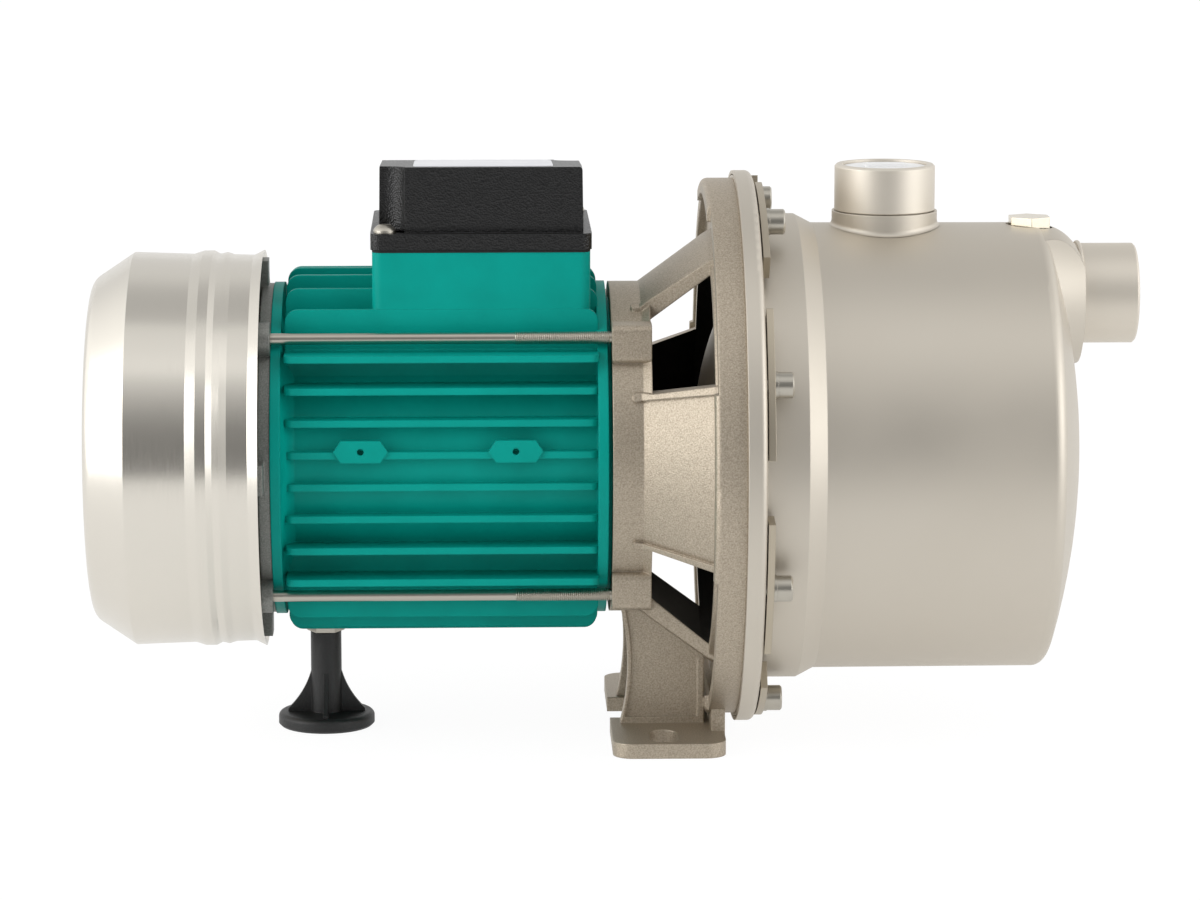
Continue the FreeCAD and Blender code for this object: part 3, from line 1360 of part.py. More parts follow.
def impeller():
    """Closed impeller with six backward-swept blades, and its nut."""
    piece = new_piece("impeller")
    back_face = "(impeller_back + shroud)"
    front_face = f"({IMPELLER_FRONT} - shroud)"
    turn(piece, [
        [
            ("impeller_back", "nose_radius"),
            (IMPELLER_FRONT, "nose_radius"),
            (IMPELLER_FRONT, "impeller_hub"),
            (back_face, "impeller_hub"),
            (back_face, "impeller_radius"),
            ("impeller_back", "impeller_radius"),
        ],
        [
            (front_face, "eye_radius"),
            (f"{IMPELLER_FRONT} + eye_length", "eye_radius"),
            (f"{IMPELLER_FRONT} + eye_length", "eye_radius + shroud"),
            (IMPELLER_FRONT, "eye_radius + shroud"),
            (IMPELLER_FRONT, "impeller_radius"),
            (front_face, "impeller_radius"),
        ],
    ])
    tip = "(impeller_radius - 1)"
    root = "(eye_radius + 2)"
    sweep = "blade_sweep * 1 deg"
    edge = f"(blade_wall / {tip} * 1 rad)"
    foot = f"(blade_wall / {root} * 1 rad)"
    blade = pad(piece, "YZ", [[
        (root, "0", "blade_arc"),
        (f"{tip} * cos({sweep})", f"{tip} * sin({sweep})"),
        (f"{tip} * cos({sweep} + {edge})", f"{tip} * sin({sweep} + {edge})", "-blade_arc"),
        (f"{root} * cos({foot})", f"{root} * sin({foot})"),
    ]], "blade_height + shroud", ("0", "0", "impeller_back + shroud / 2"))
    repeat(piece, [blade], "blades")
    pocket(piece, "XY", [box_outline("impeller_back + 2", "-key_width / 2",
                                     f"{IMPELLER_FRONT} - 2", "key_width / 2")],
           "key_height", ("0", "0", "nose_radius + key_height / 2"))
    nut = new_piece("impeller_nut")
    pad(nut, "YZ", [hexagon_outline("0", "0", "nut_flats"), ("circle", "0", "0", "nose_radius")],
        "nut_length", ("0", "0", IMPELLER_FRONT))


def diffuser():
    """Plastic diffuser cup round the impeller, with guide vanes in it."""
    piece = new_piece("diffuser")
    inner_face = f"({DIFFUSER_FRONT} - diffuser_wall)"
    neck = "(eye_radius + shroud + 2 * running_gap)"
    turn(piece, [[
        (COVER_FRONT, "diffuser_rim - diffuser_wall"),
        (COVER_FRONT, "diffuser_rim"),
        (DIFFUSER_FRONT, "diffuser_rim - 2"),
        (DIFFUSER_FRONT, neck),
        (f"{IMPELLER_FRONT} + 1", neck),
        (f"{IMPELLER_FRONT} + 1", f"{neck} + diffuser_wall"),
        (inner_face, f"{neck} + diffuser_wall"),
        (inner_face, "diffuser_rim - 2 - diffuser_wall"),
    ]])
    vane = pad(piece, "YZ", [box_outline("-vane_half", "impeller_radius + 4", "vane_half",
                                         "diffuser_rim - 1.5 * diffuser_wall")],
               "diffuser_length / 2", ("0", "0", f"{inner_face} - diffuser_length / 2 + 0.5"))
    repeat(piece, [vane], "vanes")


def ejector():
    """Venturi tube on the shaft's line, its inlet chamber, the elbow to the port, and the nozzle."""
    piece = new_piece("ejector_body")
    chamber = f"({NOSE_END} - chamber_length)"
    inner_end = f"({NOSE_END} - chamber_wall)"
    turn(piece, [[
        (DIFFUSER_FRONT, "eye_radius - 3"),
        (DIFFUSER_FRONT, "eye_radius + 6"),
        (f"{DIFFUSER_FRONT} + 4", "eye_radius + 6"),
        (f"{DIFFUSER_FRONT} + 6", "ejector_out + 3"),
        (chamber, "ejector_out"),
        (chamber, "chamber_out"),
        (NOSE_END, "chamber_out"),
        (NOSE_END, "0"),
        (inner_end, "0"),
        (inner_end, "chamber_out - chamber_wall"),
        (f"{chamber} + chamber_wall", "chamber_out - chamber_wall"),
        (f"{chamber} + chamber_wall", "throat + 2"),
        (f"{chamber} - 6", "throat"),
        (f"{chamber} - 16", "throat"),
    ]])
    elbow = f"({NOSE_END} - chamber_length / 2)"
    root = "(chamber_out - chamber_wall)"
    pad(piece, "XY", [("circle", elbow, "0", "elbow_out")], f"port_z - {root} + 2", ("0", "0", root))
    pad(piece, "YZ", [("circle", "0", "port_z", "elbow_out")],
        f"{PORT_TAIL} + 0.9 * tail_step - {elbow} + elbow_out",
        ("0", "0", f"{elbow} - elbow_out"))
    bore = "(elbow_out - elbow_wall)"
    pocket(piece, "XY", [("circle", elbow, "0", bore)], "port_z", ("0", "0", "port_z"))
    pocket(piece, "YZ", [("circle", "0", "port_z", bore)], f"{PORT_TAIL} + tail_step - {elbow} + {bore}",
           ("0", "0", f"{PORT_TAIL} + tail_step"))
    nozzle = new_piece("ejector_nozzle")
    turn(nozzle, [[
        (f"{inner_end} - nozzle_length", "nozzle_tip"),
        (inner_end, "2.4 * nozzle_tip"),
        (inner_end, "3 * nozzle_tip"),
        (f"{inner_end} - nozzle_length", "1.4 * nozzle_tip"),
    ]])


def rear_foot():
    """Black foot with four ribs, the stud that it turns on and the nut that locks it."""
    foot = new_piece("support_foot", on_shaft=False)
    foot.setExpression("Placement.Base.x", cells("foot_x"))
    turn(foot, [[
        ("0", "0"),
        ("foot_radius - foot_edge / 2", "0"),
        ("foot_radius", "foot_edge / 2"),
        ("foot_radius", "foot_thick - foot_edge", "foot_edge"),
        ("foot_radius - foot_edge", "foot_thick"),
        ("foot_column", "foot_thick"),
        ("foot_column", "foot_top"),
        ("stud + 2 * fit_gap", "foot_top"),
        ("stud + 2 * fit_gap", "stud_low"),
        ("0", "stud_low"),
    ]], axis="V_Axis")
    rib = pad(foot, "XZ", [[
        ("foot_column - 1", "foot_thick - 0.5"),
        ("foot_rib_out", "foot_thick - 0.5"),
        ("foot_rib_out", "foot_thick + 1", "-2.2 * foot_rib_out"),
        ("foot_column - 1", "foot_rib_top"),
    ]], "foot_rib", ("0", "0", "-foot_rib / 2"))
    repeat(foot, [rib], "4", "Z_Axis")
    stud = new_piece("foot_stud", on_shaft=False)
    stud.setExpression("Placement.Base.x", cells("foot_x"))
    stud_top = "(shaft_height - fin_circle + 2 + stud_in - 1)"
    turn(stud, [box_outline("0", "stud_low + 8", "stud", stud_top)], axis="V_Axis")
    nut = new_piece("foot_nut", on_shaft=False)
    nut.setExpression("Placement.Base.x", cells("foot_x"))
    pad(nut, "XY", [hexagon_outline("0", "0", "2 * foot_nut"), ("circle", "0", "0", "stud + fit_gap")],
        "foot_nut_length", ("0", "0", "foot_top + running_gap"))


def main():
    motor_frame()
    terminal_box()
    cable_gland()
    rear_end_shield()
    fan_cover()
    fan()
    shaft()
    bearing("rear", REAR_BEARING)
    bearing("front", FRONT_BEARING)
    rotor_and_stator()
    tie_rods()
    motor_bracket()
    pump_casing()
    ports()
    plug("priming", "0")
    plug("drain", "drain_angle")
    casing_cover()
    clamp_set()
    shaft_seal()
    impeller()
    diffuser()
    ejector()
    rear_foot()


main()
doc.recompute()
for item in doc.Objects:
    if "Invalid" in item.State or "Error" in item.State:
        raise RuntimeError(f"{item.Name} failed: {item.State}")
os.makedirs("parts", exist_ok=True)
for piece in PIECES:
    shape = piece.Shape
    if shape.isNull() or not shape.isValid():
        raise RuntimeError(f"{piece.Label} has no valid shape")
    box = shape.BoundBox
    print(piece.Label, len(shape.Solids), round(shape.Volume), [round(value, 1) for value in (
        box.XMin, box.XMax, box.YMin, box.YMax, box.ZMin, box.ZMax)])
    shape.exportStep(f"parts/{piece.Label}.step")
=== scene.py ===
# %% [markdown]
# # Surface jet pump
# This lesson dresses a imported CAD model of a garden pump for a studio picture. The solids
# already have their real shapes and sizes, so most of the work is in surfaces: satin steel
# sheet, polished sheet, sand-cast metal, paint over castings, black plastic and rubber.
# A few fine forms that a solid model leaves plain, such as rod threads, are added as meshes
# that are worked out with numpy.

# %% Load the frame
import math

import bpy
import numpy as np
from mathutils import Matrix, Vector


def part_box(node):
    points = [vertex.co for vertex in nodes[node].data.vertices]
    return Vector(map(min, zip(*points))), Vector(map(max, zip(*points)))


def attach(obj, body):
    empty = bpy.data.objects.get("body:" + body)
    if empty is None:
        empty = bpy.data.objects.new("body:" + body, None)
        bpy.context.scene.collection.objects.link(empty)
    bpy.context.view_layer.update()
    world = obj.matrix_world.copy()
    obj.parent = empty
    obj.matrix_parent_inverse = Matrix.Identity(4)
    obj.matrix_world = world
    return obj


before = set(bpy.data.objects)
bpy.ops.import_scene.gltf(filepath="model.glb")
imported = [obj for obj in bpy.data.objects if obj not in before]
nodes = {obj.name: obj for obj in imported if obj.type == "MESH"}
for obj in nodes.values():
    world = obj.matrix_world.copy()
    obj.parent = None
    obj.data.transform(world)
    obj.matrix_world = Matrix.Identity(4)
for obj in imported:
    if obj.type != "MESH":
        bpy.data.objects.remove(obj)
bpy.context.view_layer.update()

# %% [markdown]
# ## The viewpoint
# The picture was taken with a long lens from nearly two metres away, a little above the shaft,
# so parallel edges hardly converge. The lens is given in millimetres for a 36 mm wide sensor.

# %% Camera
CAMERA_PLACE = (-0.0752, -1.7578, 0.4177)
CAMERA_YAW = math.radians(1.68)
CAMERA_PITCH = math.radians(9.86)

eye = bpy.data.cameras.new("studio_camera")
eye.sensor_fit = "HORIZONTAL"
eye.sensor_width = 36
eye.lens = 133.1
eye.clip_end = 20
camera = bpy.data.objects.new("studio_camera", eye)
turned = Matrix.Rotation(-CAMERA_YAW, 4, "Z") @ Matrix.Rotation(math.pi / 2 - CAMERA_PITCH, 4, "X")
camera.matrix_world = Matrix.Translation(CAMERA_PLACE) @ turned
bpy.context.scene.collection.objects.link(camera)
bpy.context.scene.camera = camera
print("Camera distance from the shaft:", round(math.hypot(*CAMERA_PLACE[1:]), 3))

# %% [markdown]
# ## Meshes from formulas
# Every added piece is a grid of points: a function of two parameters gives the whole array at
# once, and neighbouring points are joined by four-sided faces. A grid can be closed along
# either parameter, as a ring or a tube is.


# %% Grid meshes
def grid_faces(rows, columns, close_rows=False, close_columns=False):
    """Face (i, j) joins points (i, j), (i, j+1), (i+1, j+1), (i+1, j); closed ways wrap round."""
    i = np.arange(rows if close_rows else rows - 1)[:, None]
    j = np.arange(columns if close_columns else columns - 1)[None, :]
    i_next = (i + 1) % rows
    j_next = (j + 1) % columns
    corners = (i * columns + j, i * columns + j_next, i_next * columns + j_next, i_next * columns + j)
    return np.stack(corners, axis=-1).reshape(-1, 4)


def make_piece(name, points, faces, body, finish, smooth=True):
    """A mesh object from an array of points and an array of faces, riding on a CAD body."""
    mesh = bpy.data.meshes.new(name)
    mesh.from_pydata(points.reshape(-1, 3).tolist(), [], faces.tolist())
    mesh.polygons.foreach_set("use_smooth", np.full(len(mesh.polygons), smooth))
    mesh.update()
    piece = bpy.data.objects.new(name, mesh)
    bpy.context.scene.collection.objects.link(piece)
    mesh.materials.append(finish)
    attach(piece, body)
    print(name, "has", len(faces), "faces")
    return piece


# %% [markdown]
# ## A small kit for finishes
# Each finish is one shader with a little network in front of it. The patterns read Object
# coordinates, which are metres on every piece here, so a noise scale of 1000 has grains of
# about one millimetre. Bump turns the same pattern into relief.


# %% Finish helpers
def srgb(red, green, blue):
    """Screen values 0 to 255 as the linear colour that a shader wants."""
    value = np.array([red, green, blue]) / 255
    linear = np.where(value <= 0.04045, value / 12.92, ((value + 0.055) / 1.055) ** 2.4)
    return tuple(float(part) for part in linear) + (1.0,)


class Finish:
    """A material with one shader, and short calls that add nodes in front of it."""

    def __init__(self, name, colour, roughness, metallic=0.0):
        self.material = bpy.data.materials.new(name)
        self.material.use_nodes = True
        self.tree = self.material.node_tree
        self.shader = self.tree.nodes["Principled BSDF"]
        self.shader.inputs["Base Color"].default_value = colour
        self.shader.inputs["Roughness"].default_value = roughness
        self.shader.inputs["Metallic"].default_value = metallic
        self.place = self.node("ShaderNodeTexCoord").outputs["Object"]
        self.normal = None

    def node(self, kind, **settings):
        made = self.tree.nodes.new(kind)
        for key, value in settings.items():
            setattr(made, key, value)
        return made

    def join(self, output, socket):
        self.tree.links.new(output, socket)

    def stretched(self, scale):
        """Object coordinates multiplied along X, Y and Z, for a pattern that runs one way."""
        mapping = self.node("ShaderNodeMapping")
        mapping.inputs["Scale"].default_value = scale
        self.join(self.place, mapping.inputs["Vector"])
        return mapping.outputs["Vector"]

    def noise(self, scale, detail=3.0, place=None):
        texture = self.node("ShaderNodeTexNoise")
        texture.inputs["Scale"].default_value = scale
        texture.inputs["Detail"].default_value = detail
        self.join(place or self.place, texture.inputs["Vector"])
        return texture.outputs["Fac"]

    def spread(self, value, low, high):
        """The middle of a noise, 0.3 to 0.7, stretched to run from low to high."""
        ranged = self.node("ShaderNodeMapRange")
        ranged.inputs["From Min"].default_value = 0.3
        ranged.inputs["From Max"].default_value = 0.7
        ranged.inputs["To Min"].default_value = low
        ranged.inputs["To Max"].default_value = high
        self.join(value, ranged.inputs["Value"])
        return ranged.outputs["Result"]

    def mottle(self, value, first, second):
        """Base colour that moves between two colours with a pattern."""
        mix = self.node("ShaderNodeMix", data_type="RGBA")
        self.join(value, mix.inputs["Factor"])
        mix.inputs["A"].default_value = first
        mix.inputs["B"].default_value = second
        self.join(mix.outputs["Result"], self.shader.inputs["Base Color"])

    def soften_edges(self, radius):
        """Light catches an edge as if it were rounded by this radius in metres."""
        bevel = self.node("ShaderNodeBevel", samples=6)
        bevel.inputs["Radius"].default_value = radius
        self.normal = bevel.outputs["Normal"]
        self.join(self.normal, self.shader.inputs["Normal"])

    def relief(self, height, depth, strength=1.0):
        """Bump of this depth in metres, on top of the relief that is there."""
        bump = self.node("ShaderNodeBump")
        bump.inputs["Strength"].default_value = strength
        bump.inputs["Distance"].default_value = depth
        self.join(height, bump.inputs["Height"])
        if self.normal is not None:
            self.join(self.normal, bump.inputs["Normal"])
        self.normal = bump.outputs["Normal"]
        self.join(self.normal, self.shader.inputs["Normal"])


def dress(finish, *names):
    """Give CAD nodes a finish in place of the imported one."""
    for name in names:
        slots = nodes[name].data.materials
        slots.clear()
        slots.append(finish.material)
    print(finish.material.name, "on", len(names), "nodes")


# %% [markdown]
# ## Paint over castings
# The motor frame is an aluminium casting under satin paint. The paint hides most of the sand
# grain and leaves a soft ripple, and every fin edge catches the light because paint rounds it.

# %% Motor paint
frame_paint = Finish("frame_paint", srgb(0, 156, 145), 0.45)
frame_paint.soften_edges(0.0008)
frame_paint.mottle(frame_paint.spread(frame_paint.noise(60), 0.0, 1.0), srgb(0, 153, 141), srgb(0, 161, 149))
frame_paint.relief(frame_paint.noise(900, 4.0), 0.0001, 0.4)
frame_paint.relief(frame_paint.noise(180, 2.0), 0.0004, 0.2)
frame_paint.shader.inputs["Specular IOR Level"].default_value = 0.12
dress(frame_paint, "motor_frame")

# %% [markdown]
# ## Sand castings
# The lantern bracket and the rear shield keep the skin of the sand mould: fine grains with
# soft hollows between them. Two noises of different size make the relief, and the finer one
# also speckles the colour.


# %% Cast finishes
def cast_finish(name, dark, light, roughness, metallic, grain):
    """Sand-cast skin: speckled between two colours, with grains of one size and wider hollows."""
    finish = Finish(name, light, roughness, metallic)
    finish.soften_edges(0.0008)
    grains = finish.noise(grain, 5.0)
    finish.mottle(finish.spread(grains, 0.0, 1.0), dark, light)
    finish.relief(grains, 0.0002, 0.7)
    finish.relief(finish.noise(grain / 8, 3.0), 0.0005, 0.25)
    return finish


def paint_inner_shade(finish, hollow_axis_z, reach):
    """Painted shade: skin that faces the shaft is painted near black for the shade in the hollow, where the
    normal times the way out from the shaft is negative.

    The way out is (0, y, z - axis) divided by its length, so walls across the shaft give zero.
    Skin farther from the shaft than reach keeps its colour.
    """
    from_axis = finish.node("ShaderNodeVectorMath", operation="SUBTRACT")
    finish.join(finish.place, from_axis.inputs[0])
    from_axis.inputs[1].default_value = (0, 0, hollow_axis_z)
    across = finish.node("ShaderNodeVectorMath", operation="MULTIPLY")
    finish.join(from_axis.outputs["Vector"], across.inputs[0])
    across.inputs[1].default_value = (0, 1, 1)
    outward = finish.node("ShaderNodeVectorMath", operation="NORMALIZE")
    finish.join(across.outputs["Vector"], outward.inputs[0])
    facing = finish.node("ShaderNodeVectorMath", operation="DOT_PRODUCT")
    finish.join(outward.outputs["Vector"], facing.inputs[0])
    finish.join(finish.node("ShaderNodeNewGeometry").outputs["True Normal"], facing.inputs[1])
    inner = finish.node("ShaderNodeMath", operation="LESS_THAN")
    finish.join(facing.outputs["Value"], inner.inputs[0])
    inner.inputs[1].default_value = -0.5
    away = finish.node("ShaderNodeVectorMath", operation="LENGTH")
    finish.join(across.outputs["Vector"], away.inputs[0])
    near = finish.node("ShaderNodeMath", operation="LESS_THAN")
    finish.join(away.outputs["Value"], near.inputs[0])
    near.inputs[1].default_value = reach
    both = finish.node("ShaderNodeMath", operation="MULTIPLY")
    finish.join(inner.outputs[0], both.inputs[0])
    finish.join(near.outputs[0], both.inputs[1])
    painted_shade_mix = finish.node("ShaderNodeMix", data_type="RGBA")
    finish.join(both.outputs[0], painted_shade_mix.inputs["Factor"])
    finish.join(finish.shader.inputs["Base Color"].links[0].from_socket, painted_shade_mix.inputs["A"])
    # Near black painted shade for the faces inside the hollow.
    painted_shade_mix.inputs["B"].default_value = srgb(24, 23, 22)
    finish.join(painted_shade_mix.outputs["Result"], finish.shader.inputs["Base Color"])


SHAFT_HEIGHT = 0.1138
LANTERN_HOLLOW = 0.087

bracket_cast = cast_finish("bracket_cast", srgb(158, 146, 129), srgb(196, 184, 166), 0.46, 0.7, 1700)
shield_cast = cast_finish("shield_cast", srgb(118, 119, 115), srgb(146, 147, 142), 0.45, 0.6, 1700)
# Painted shade: the lantern's inner faces are coloured near black for the shade inside its hollow.
paint_inner_shade(bracket_cast, SHAFT_HEIGHT, LANTERN_HOLLOW)
dress(bracket_cast, "motor_bracket")
dress(shield_cast, "rear_end_shield")

# %% [markdown]
# ## Steel sheet
# The pump casing is drawn from stainless sheet and blasted to a satin grey: no lines, only a
# very fine bloom. The fan cover is polished, with faint marks running round it from the
# spinning. Both are metal, so what they show is the room, and roughness sets how soft it is.


# %% Sheet finishes
def satin_sheet(name, colour, roughness):
    """Satin metal with a slow change in its shine and a very fine tooth."""
    finish = Finish(name, colour, roughness, 1.0)
    cloud = finish.noise(14, 3.0)
    finish.join(finish.spread(cloud, roughness - 0.04, roughness + 0.05), finish.shader.inputs["Roughness"])
    finish.soften_edges(0.0005)
    finish.relief(finish.noise(2600, 2.0), 0.00004, 0.3)
    return finish


casing_satin = satin_sheet("casing_satin", srgb(209, 202, 190), 0.5)
# Painted light: the ports are the casing's satin steel in a brighter colour, a lit copy of the same sheet.
port_satin_lit = satin_sheet("port_satin_lit", srgb(224, 217, 205), 0.5)
dress(casing_satin, "pump_casing", "priming_boss", "drain_boss", "casing_cover")
dress(port_satin_lit, "suction_port", "discharge_port")

cover_polish = Finish("cover_polish", srgb(224, 219, 209), 0.24, 1.0)
turning = cover_polish.noise(160, 4.0, cover_polish.stretched((14, 1, 1)))
cover_polish.join(cover_polish.spread(turning, 0.22, 0.27), cover_polish.shader.inputs["Roughness"])
cover_polish.relief(cover_polish.noise(2400, 2.0), 0.00002, 0.25)
dress(cover_polish, "fan_cover")

# %% [markdown]
# ## Fasteners
# Screws, rods and nuts are zinc plated, a little duller than the sheet. The plates under the
# screw heads have a warmer plating.

# %% Fastener finishes
zinc_plate = Finish("zinc_plate", srgb(186, 181, 170), 0.3, 1.0)
zinc_plate.soften_edges(0.0003)
zinc_plate.relief(zinc_plate.noise(1800, 3.0), 0.00006, 0.4)
dress(zinc_plate, "flange_screws", "spring_washers", "tie_rods", "cover_screws", "foot_stud", "foot_nut",
      "impeller_nut", "impeller_key", "wave_washer", "shaft", "rear_outer_race", "rear_inner_race",
      "rear_balls", "front_outer_race", "front_inner_race", "front_balls")

clamp_plating = Finish("clamp_plating", srgb(186, 176, 158), 0.38, 0.9)
clamp_plating.soften_edges(0.0004)
clamp_plating.relief(clamp_plating.noise(1200, 3.0), 0.00008, 0.4)
dress(clamp_plating, "clamp_plates")

plug_brass = Finish("plug_brass", srgb(222, 213, 194), 0.24, 1.0)
plug_brass.soften_edges(0.0004)
plug_brass.relief(plug_brass.noise(500, 3.0), 0.00006, 0.3)
dress(plug_brass, "priming_plug", "drain_plug")

# %% [markdown]
# ## Plastics and rubber
# The terminal box lid is moulded with a fine leather-like grain, which shows as a dull sheen
# with tiny bright specks. Cells of a Voronoi pattern give that grain.


# %% Moulded finishes
def moulded(name, colour, roughness, grain, depth):
    """Moulded plastic: one colour, a grain of small cells and softened edges."""
    finish = Finish(name, colour, roughness)
    finish.soften_edges(0.0005)
    cells = finish.node("ShaderNodeTexVoronoi")
    cells.inputs["Scale"].default_value = grain
    finish.join(finish.place, cells.inputs["Vector"])
    finish.relief(cells.outputs["Distance"], depth, 0.8)
    return finish


lid_black = moulded("lid_black", srgb(10, 10, 11), 0.3, 1300, 0.0003)
foot_black = moulded("foot_black", srgb(30, 30, 30), 0.45, 1800, 0.0001)
inner_black = moulded("inner_black", srgb(40, 41, 44), 0.5, 1500, 0.0001)
cap_white = moulded("cap_white", srgb(240, 240, 240), 0.45, 1500, 0.00004)
rubber_black = moulded("rubber_black", srgb(22, 22, 22), 0.7, 2200, 0.00008)
dress(lid_black, "terminal_box_cover", "cable_gland", "gland_nut")
dress(foot_black, "support_foot", "fan")
dress(inner_black, "impeller", "diffuser", "ejector_body", "ejector_nozzle", "seal_head")
dress(cap_white, "discharge_cap", "capacitor", "terminal_block", "seal_seat")
dress(rubber_black, "box_gasket", "casing_o_ring", "slinger")

# %% [markdown]
# ## Inside the motor
# Steel laminations, cast rings and varnished copper are hidden in the picture, but they are
# part of the object and get their own finishes.

# %% Motor inner finishes
lamination = Finish("lamination", srgb(120, 122, 126), 0.45, 0.9)
sheets = lamination.node("ShaderNodeTexWave", wave_type="BANDS", bands_direction="X")
sheets.inputs["Scale"].default_value = 300
lamination.join(lamination.place, sheets.inputs["Vector"])
lamination.relief(sheets.outputs["Fac"], 0.0001, 0.6)
dress(lamination, "stator_core", "rotor_core")

ring_cast = cast_finish("ring_cast", srgb(150, 151, 152), srgb(200, 201, 203), 0.4, 0.9, 1300)
dress(ring_cast, "rotor_rings")

copper = Finish("copper", srgb(176, 98, 56), 0.35, 0.7)
wires = copper.node("ShaderNodeTexWave", wave_type="RINGS", rings_direction="X")
wires.inputs["Scale"].default_value = 320
copper.join(copper.place, wires.inputs["Vector"])
copper.relief(wires.outputs["Fac"], 0.0003, 0.8)
dress(copper, "stator_windings")

# %% [markdown]
# ## Threads on the tie rods
# The front ends of the four rods are screwed into the bracket, and the last part of the thread
# shows. A thread is a ridge carried along a helix: a V-shaped profile moves forward by one pitch
# in each turn. As a grid, rows are steps of the turn and columns are points of the profile.


# %% Rod threads
def thread_points(centre_y, centre_z, start, end, core, crest, pitch, steps=20):
    """Angle a gives x = start + pitch * (a / turn + k), y and z on a circle of radius r(k).

    k runs over one pitch in four parts, and r(k) goes core, crest, crest, core, so that the last
    column of one turn meets the first column of the next.
    """
    rows = int((end - start) / pitch * steps)
    angle = np.arange(rows)[:, None] * 2 * np.pi / steps
    part = np.array([0.0, 0.35, 0.5, 0.85, 1.0])[None, :]
    radius = np.array([core, crest, crest, core, core])[None, :]
    x = start + pitch * (angle / (2 * np.pi) + part)
    y = centre_y + radius * np.cos(angle)
    z = centre_z + radius * np.sin(angle)
    return np.stack(np.broadcast_arrays(x, y, z), axis=-1)


ROD_Y = 0.048
ROD_Z = 0.051
THREAD_START = -0.0585
THREAD_END = -0.0214
THREAD_CORE = 0.00221
THREAD_CREST = 0.00255
THREAD_PITCH = 0.0008
for place, side_y, side_z in (("near_top", -1, 1), ("far_top", 1, 1),
                              ("near_low", -1, -1), ("far_low", 1, -1)):
    spiral = thread_points(side_y * ROD_Y, SHAFT_HEIGHT + side_z * ROD_Z, THREAD_START, THREAD_END,
                           THREAD_CORE, THREAD_CREST, THREAD_PITCH)
    turns = grid_faces(spiral.shape[0], spiral.shape[1])
    make_piece("rod_thread_" + place, spiral, turns, "pump", zinc_plate.material, False)

# %% [markdown]
# ## Flare at the outlet
# The outlet collar is pulled out of the drum's sheet, which leaves a hollow curve all round its
# foot. A quarter circle is carried round the collar, and each of its points is lifted to the
# height of the drum under it.


# %% Outlet flare
def flare_points(middle_x, collar, drum, reach, rise, columns=96, rows=9):
    """Angle a round the collar and s from 0 to 90 degrees along a quarter circle.

    The way out is p = collar + reach * (1 - cos s). The height is that of the drum,
    sqrt(drum^2 - (p sin a)^2), plus rise * (1 - sin s).
    """
    bend = np.linspace(0, np.pi / 2, rows)[:, None]
    angle = np.linspace(0, 2 * np.pi, columns, endpoint=False)[None, :]
    out = collar + reach * (1 - np.cos(bend))
    y = out * np.sin(angle)
    z = SHAFT_HEIGHT + np.sqrt(drum ** 2 - y ** 2) + rise * (1 - np.sin(bend))
    x = middle_x + out * np.cos(angle)
    return np.stack(np.broadcast_arrays(x, y, z), axis=-1)


OUTLET_X = 0.0899
COLLAR_RADIUS = 0.02102
DRUM_RADIUS = 0.08952
FLARE_REACH = 0.0014
FLARE_RISE = 0.0018
flare = flare_points(OUTLET_X, COLLAR_RADIUS, DRUM_RADIUS, FLARE_REACH, FLARE_RISE)
flare_faces = grid_faces(flare.shape[0], flare.shape[1], close_columns=True)
make_piece("outlet_flare", flare, flare_faces, "pump", casing_satin.material)

# %% [markdown]
# ## Weld at the inlet
# The inlet socket is welded to the pad. The bead is a low ring with a slight ripple along it,
# which is the trace of the torch moving on step by step.


# %% Inlet weld
def bead_points(place_x, middle_z, ring, bead, ripples, columns=240, rows=10):
    """Angle a round the socket and s round the bead, a torus whose thickness swells in ripples.

    The thickness is bead * (1 + 0.08 * sin(ripples * a)).
    """
    around = np.linspace(0, 2 * np.pi, columns, endpoint=False)[None, :]
    bend = np.linspace(0, 2 * np.pi, rows, endpoint=False)[:, None]
    thick = bead * (1 + 0.08 * np.sin(ripples * around))
    out = ring + thick * np.cos(bend)
    x = place_x + thick * np.sin(bend)
    y = out * np.cos(around)
    z = middle_z + out * np.sin(around)
    return np.stack(np.broadcast_arrays(x, y, z), axis=-1)


PORT_RISE = 0.0613
WELD_X = 0.1676
WELD_RADIUS = 0.0202
BEAD_RADIUS = 0.0009
BEAD_RIPPLES = 60
weld = bead_points(WELD_X, SHAFT_HEIGHT + PORT_RISE, WELD_RADIUS, BEAD_RADIUS, BEAD_RIPPLES)
weld_faces = grid_faces(weld.shape[0], weld.shape[1], True, True)
# The weld bead takes the ports' brighter, lit copy of the satin steel.
make_piece("inlet_weld", weld, weld_faces, "pump", port_satin_lit.material)

# %% [markdown]
# ## Crown over the inlet pad
# The pad is pressed out of the casing's end, and its top follows the drum in a round shoulder.
# The solid casing is open there, so a sheet closes it. It is an arc turned about the shaft, as
# wide at each station as the pad's cone, and it leaves room for the plug's boss.


# %% Pad crown
BOSS_X = 0.148
BOSS_RADIUS = 0.0093
CROWN_START = 0.1494
CROWN_END = 0.1675
WALL_START = 0.1483
WALL_RADIUS = 0.08885
WALL_SLOPE = 0.09
SHOULDER_START = 0.1533
SHOULDER_RADIUS = 0.016
SHOULDER_MIDDLE_X = 0.1527
SHOULDER_MIDDLE_RISE = 0.07241
CONE_START = 0.1493
CONE_RADIUS = 0.0345
CONE_SLOPE = 0.357
SHEET_LIFT = 0.00003


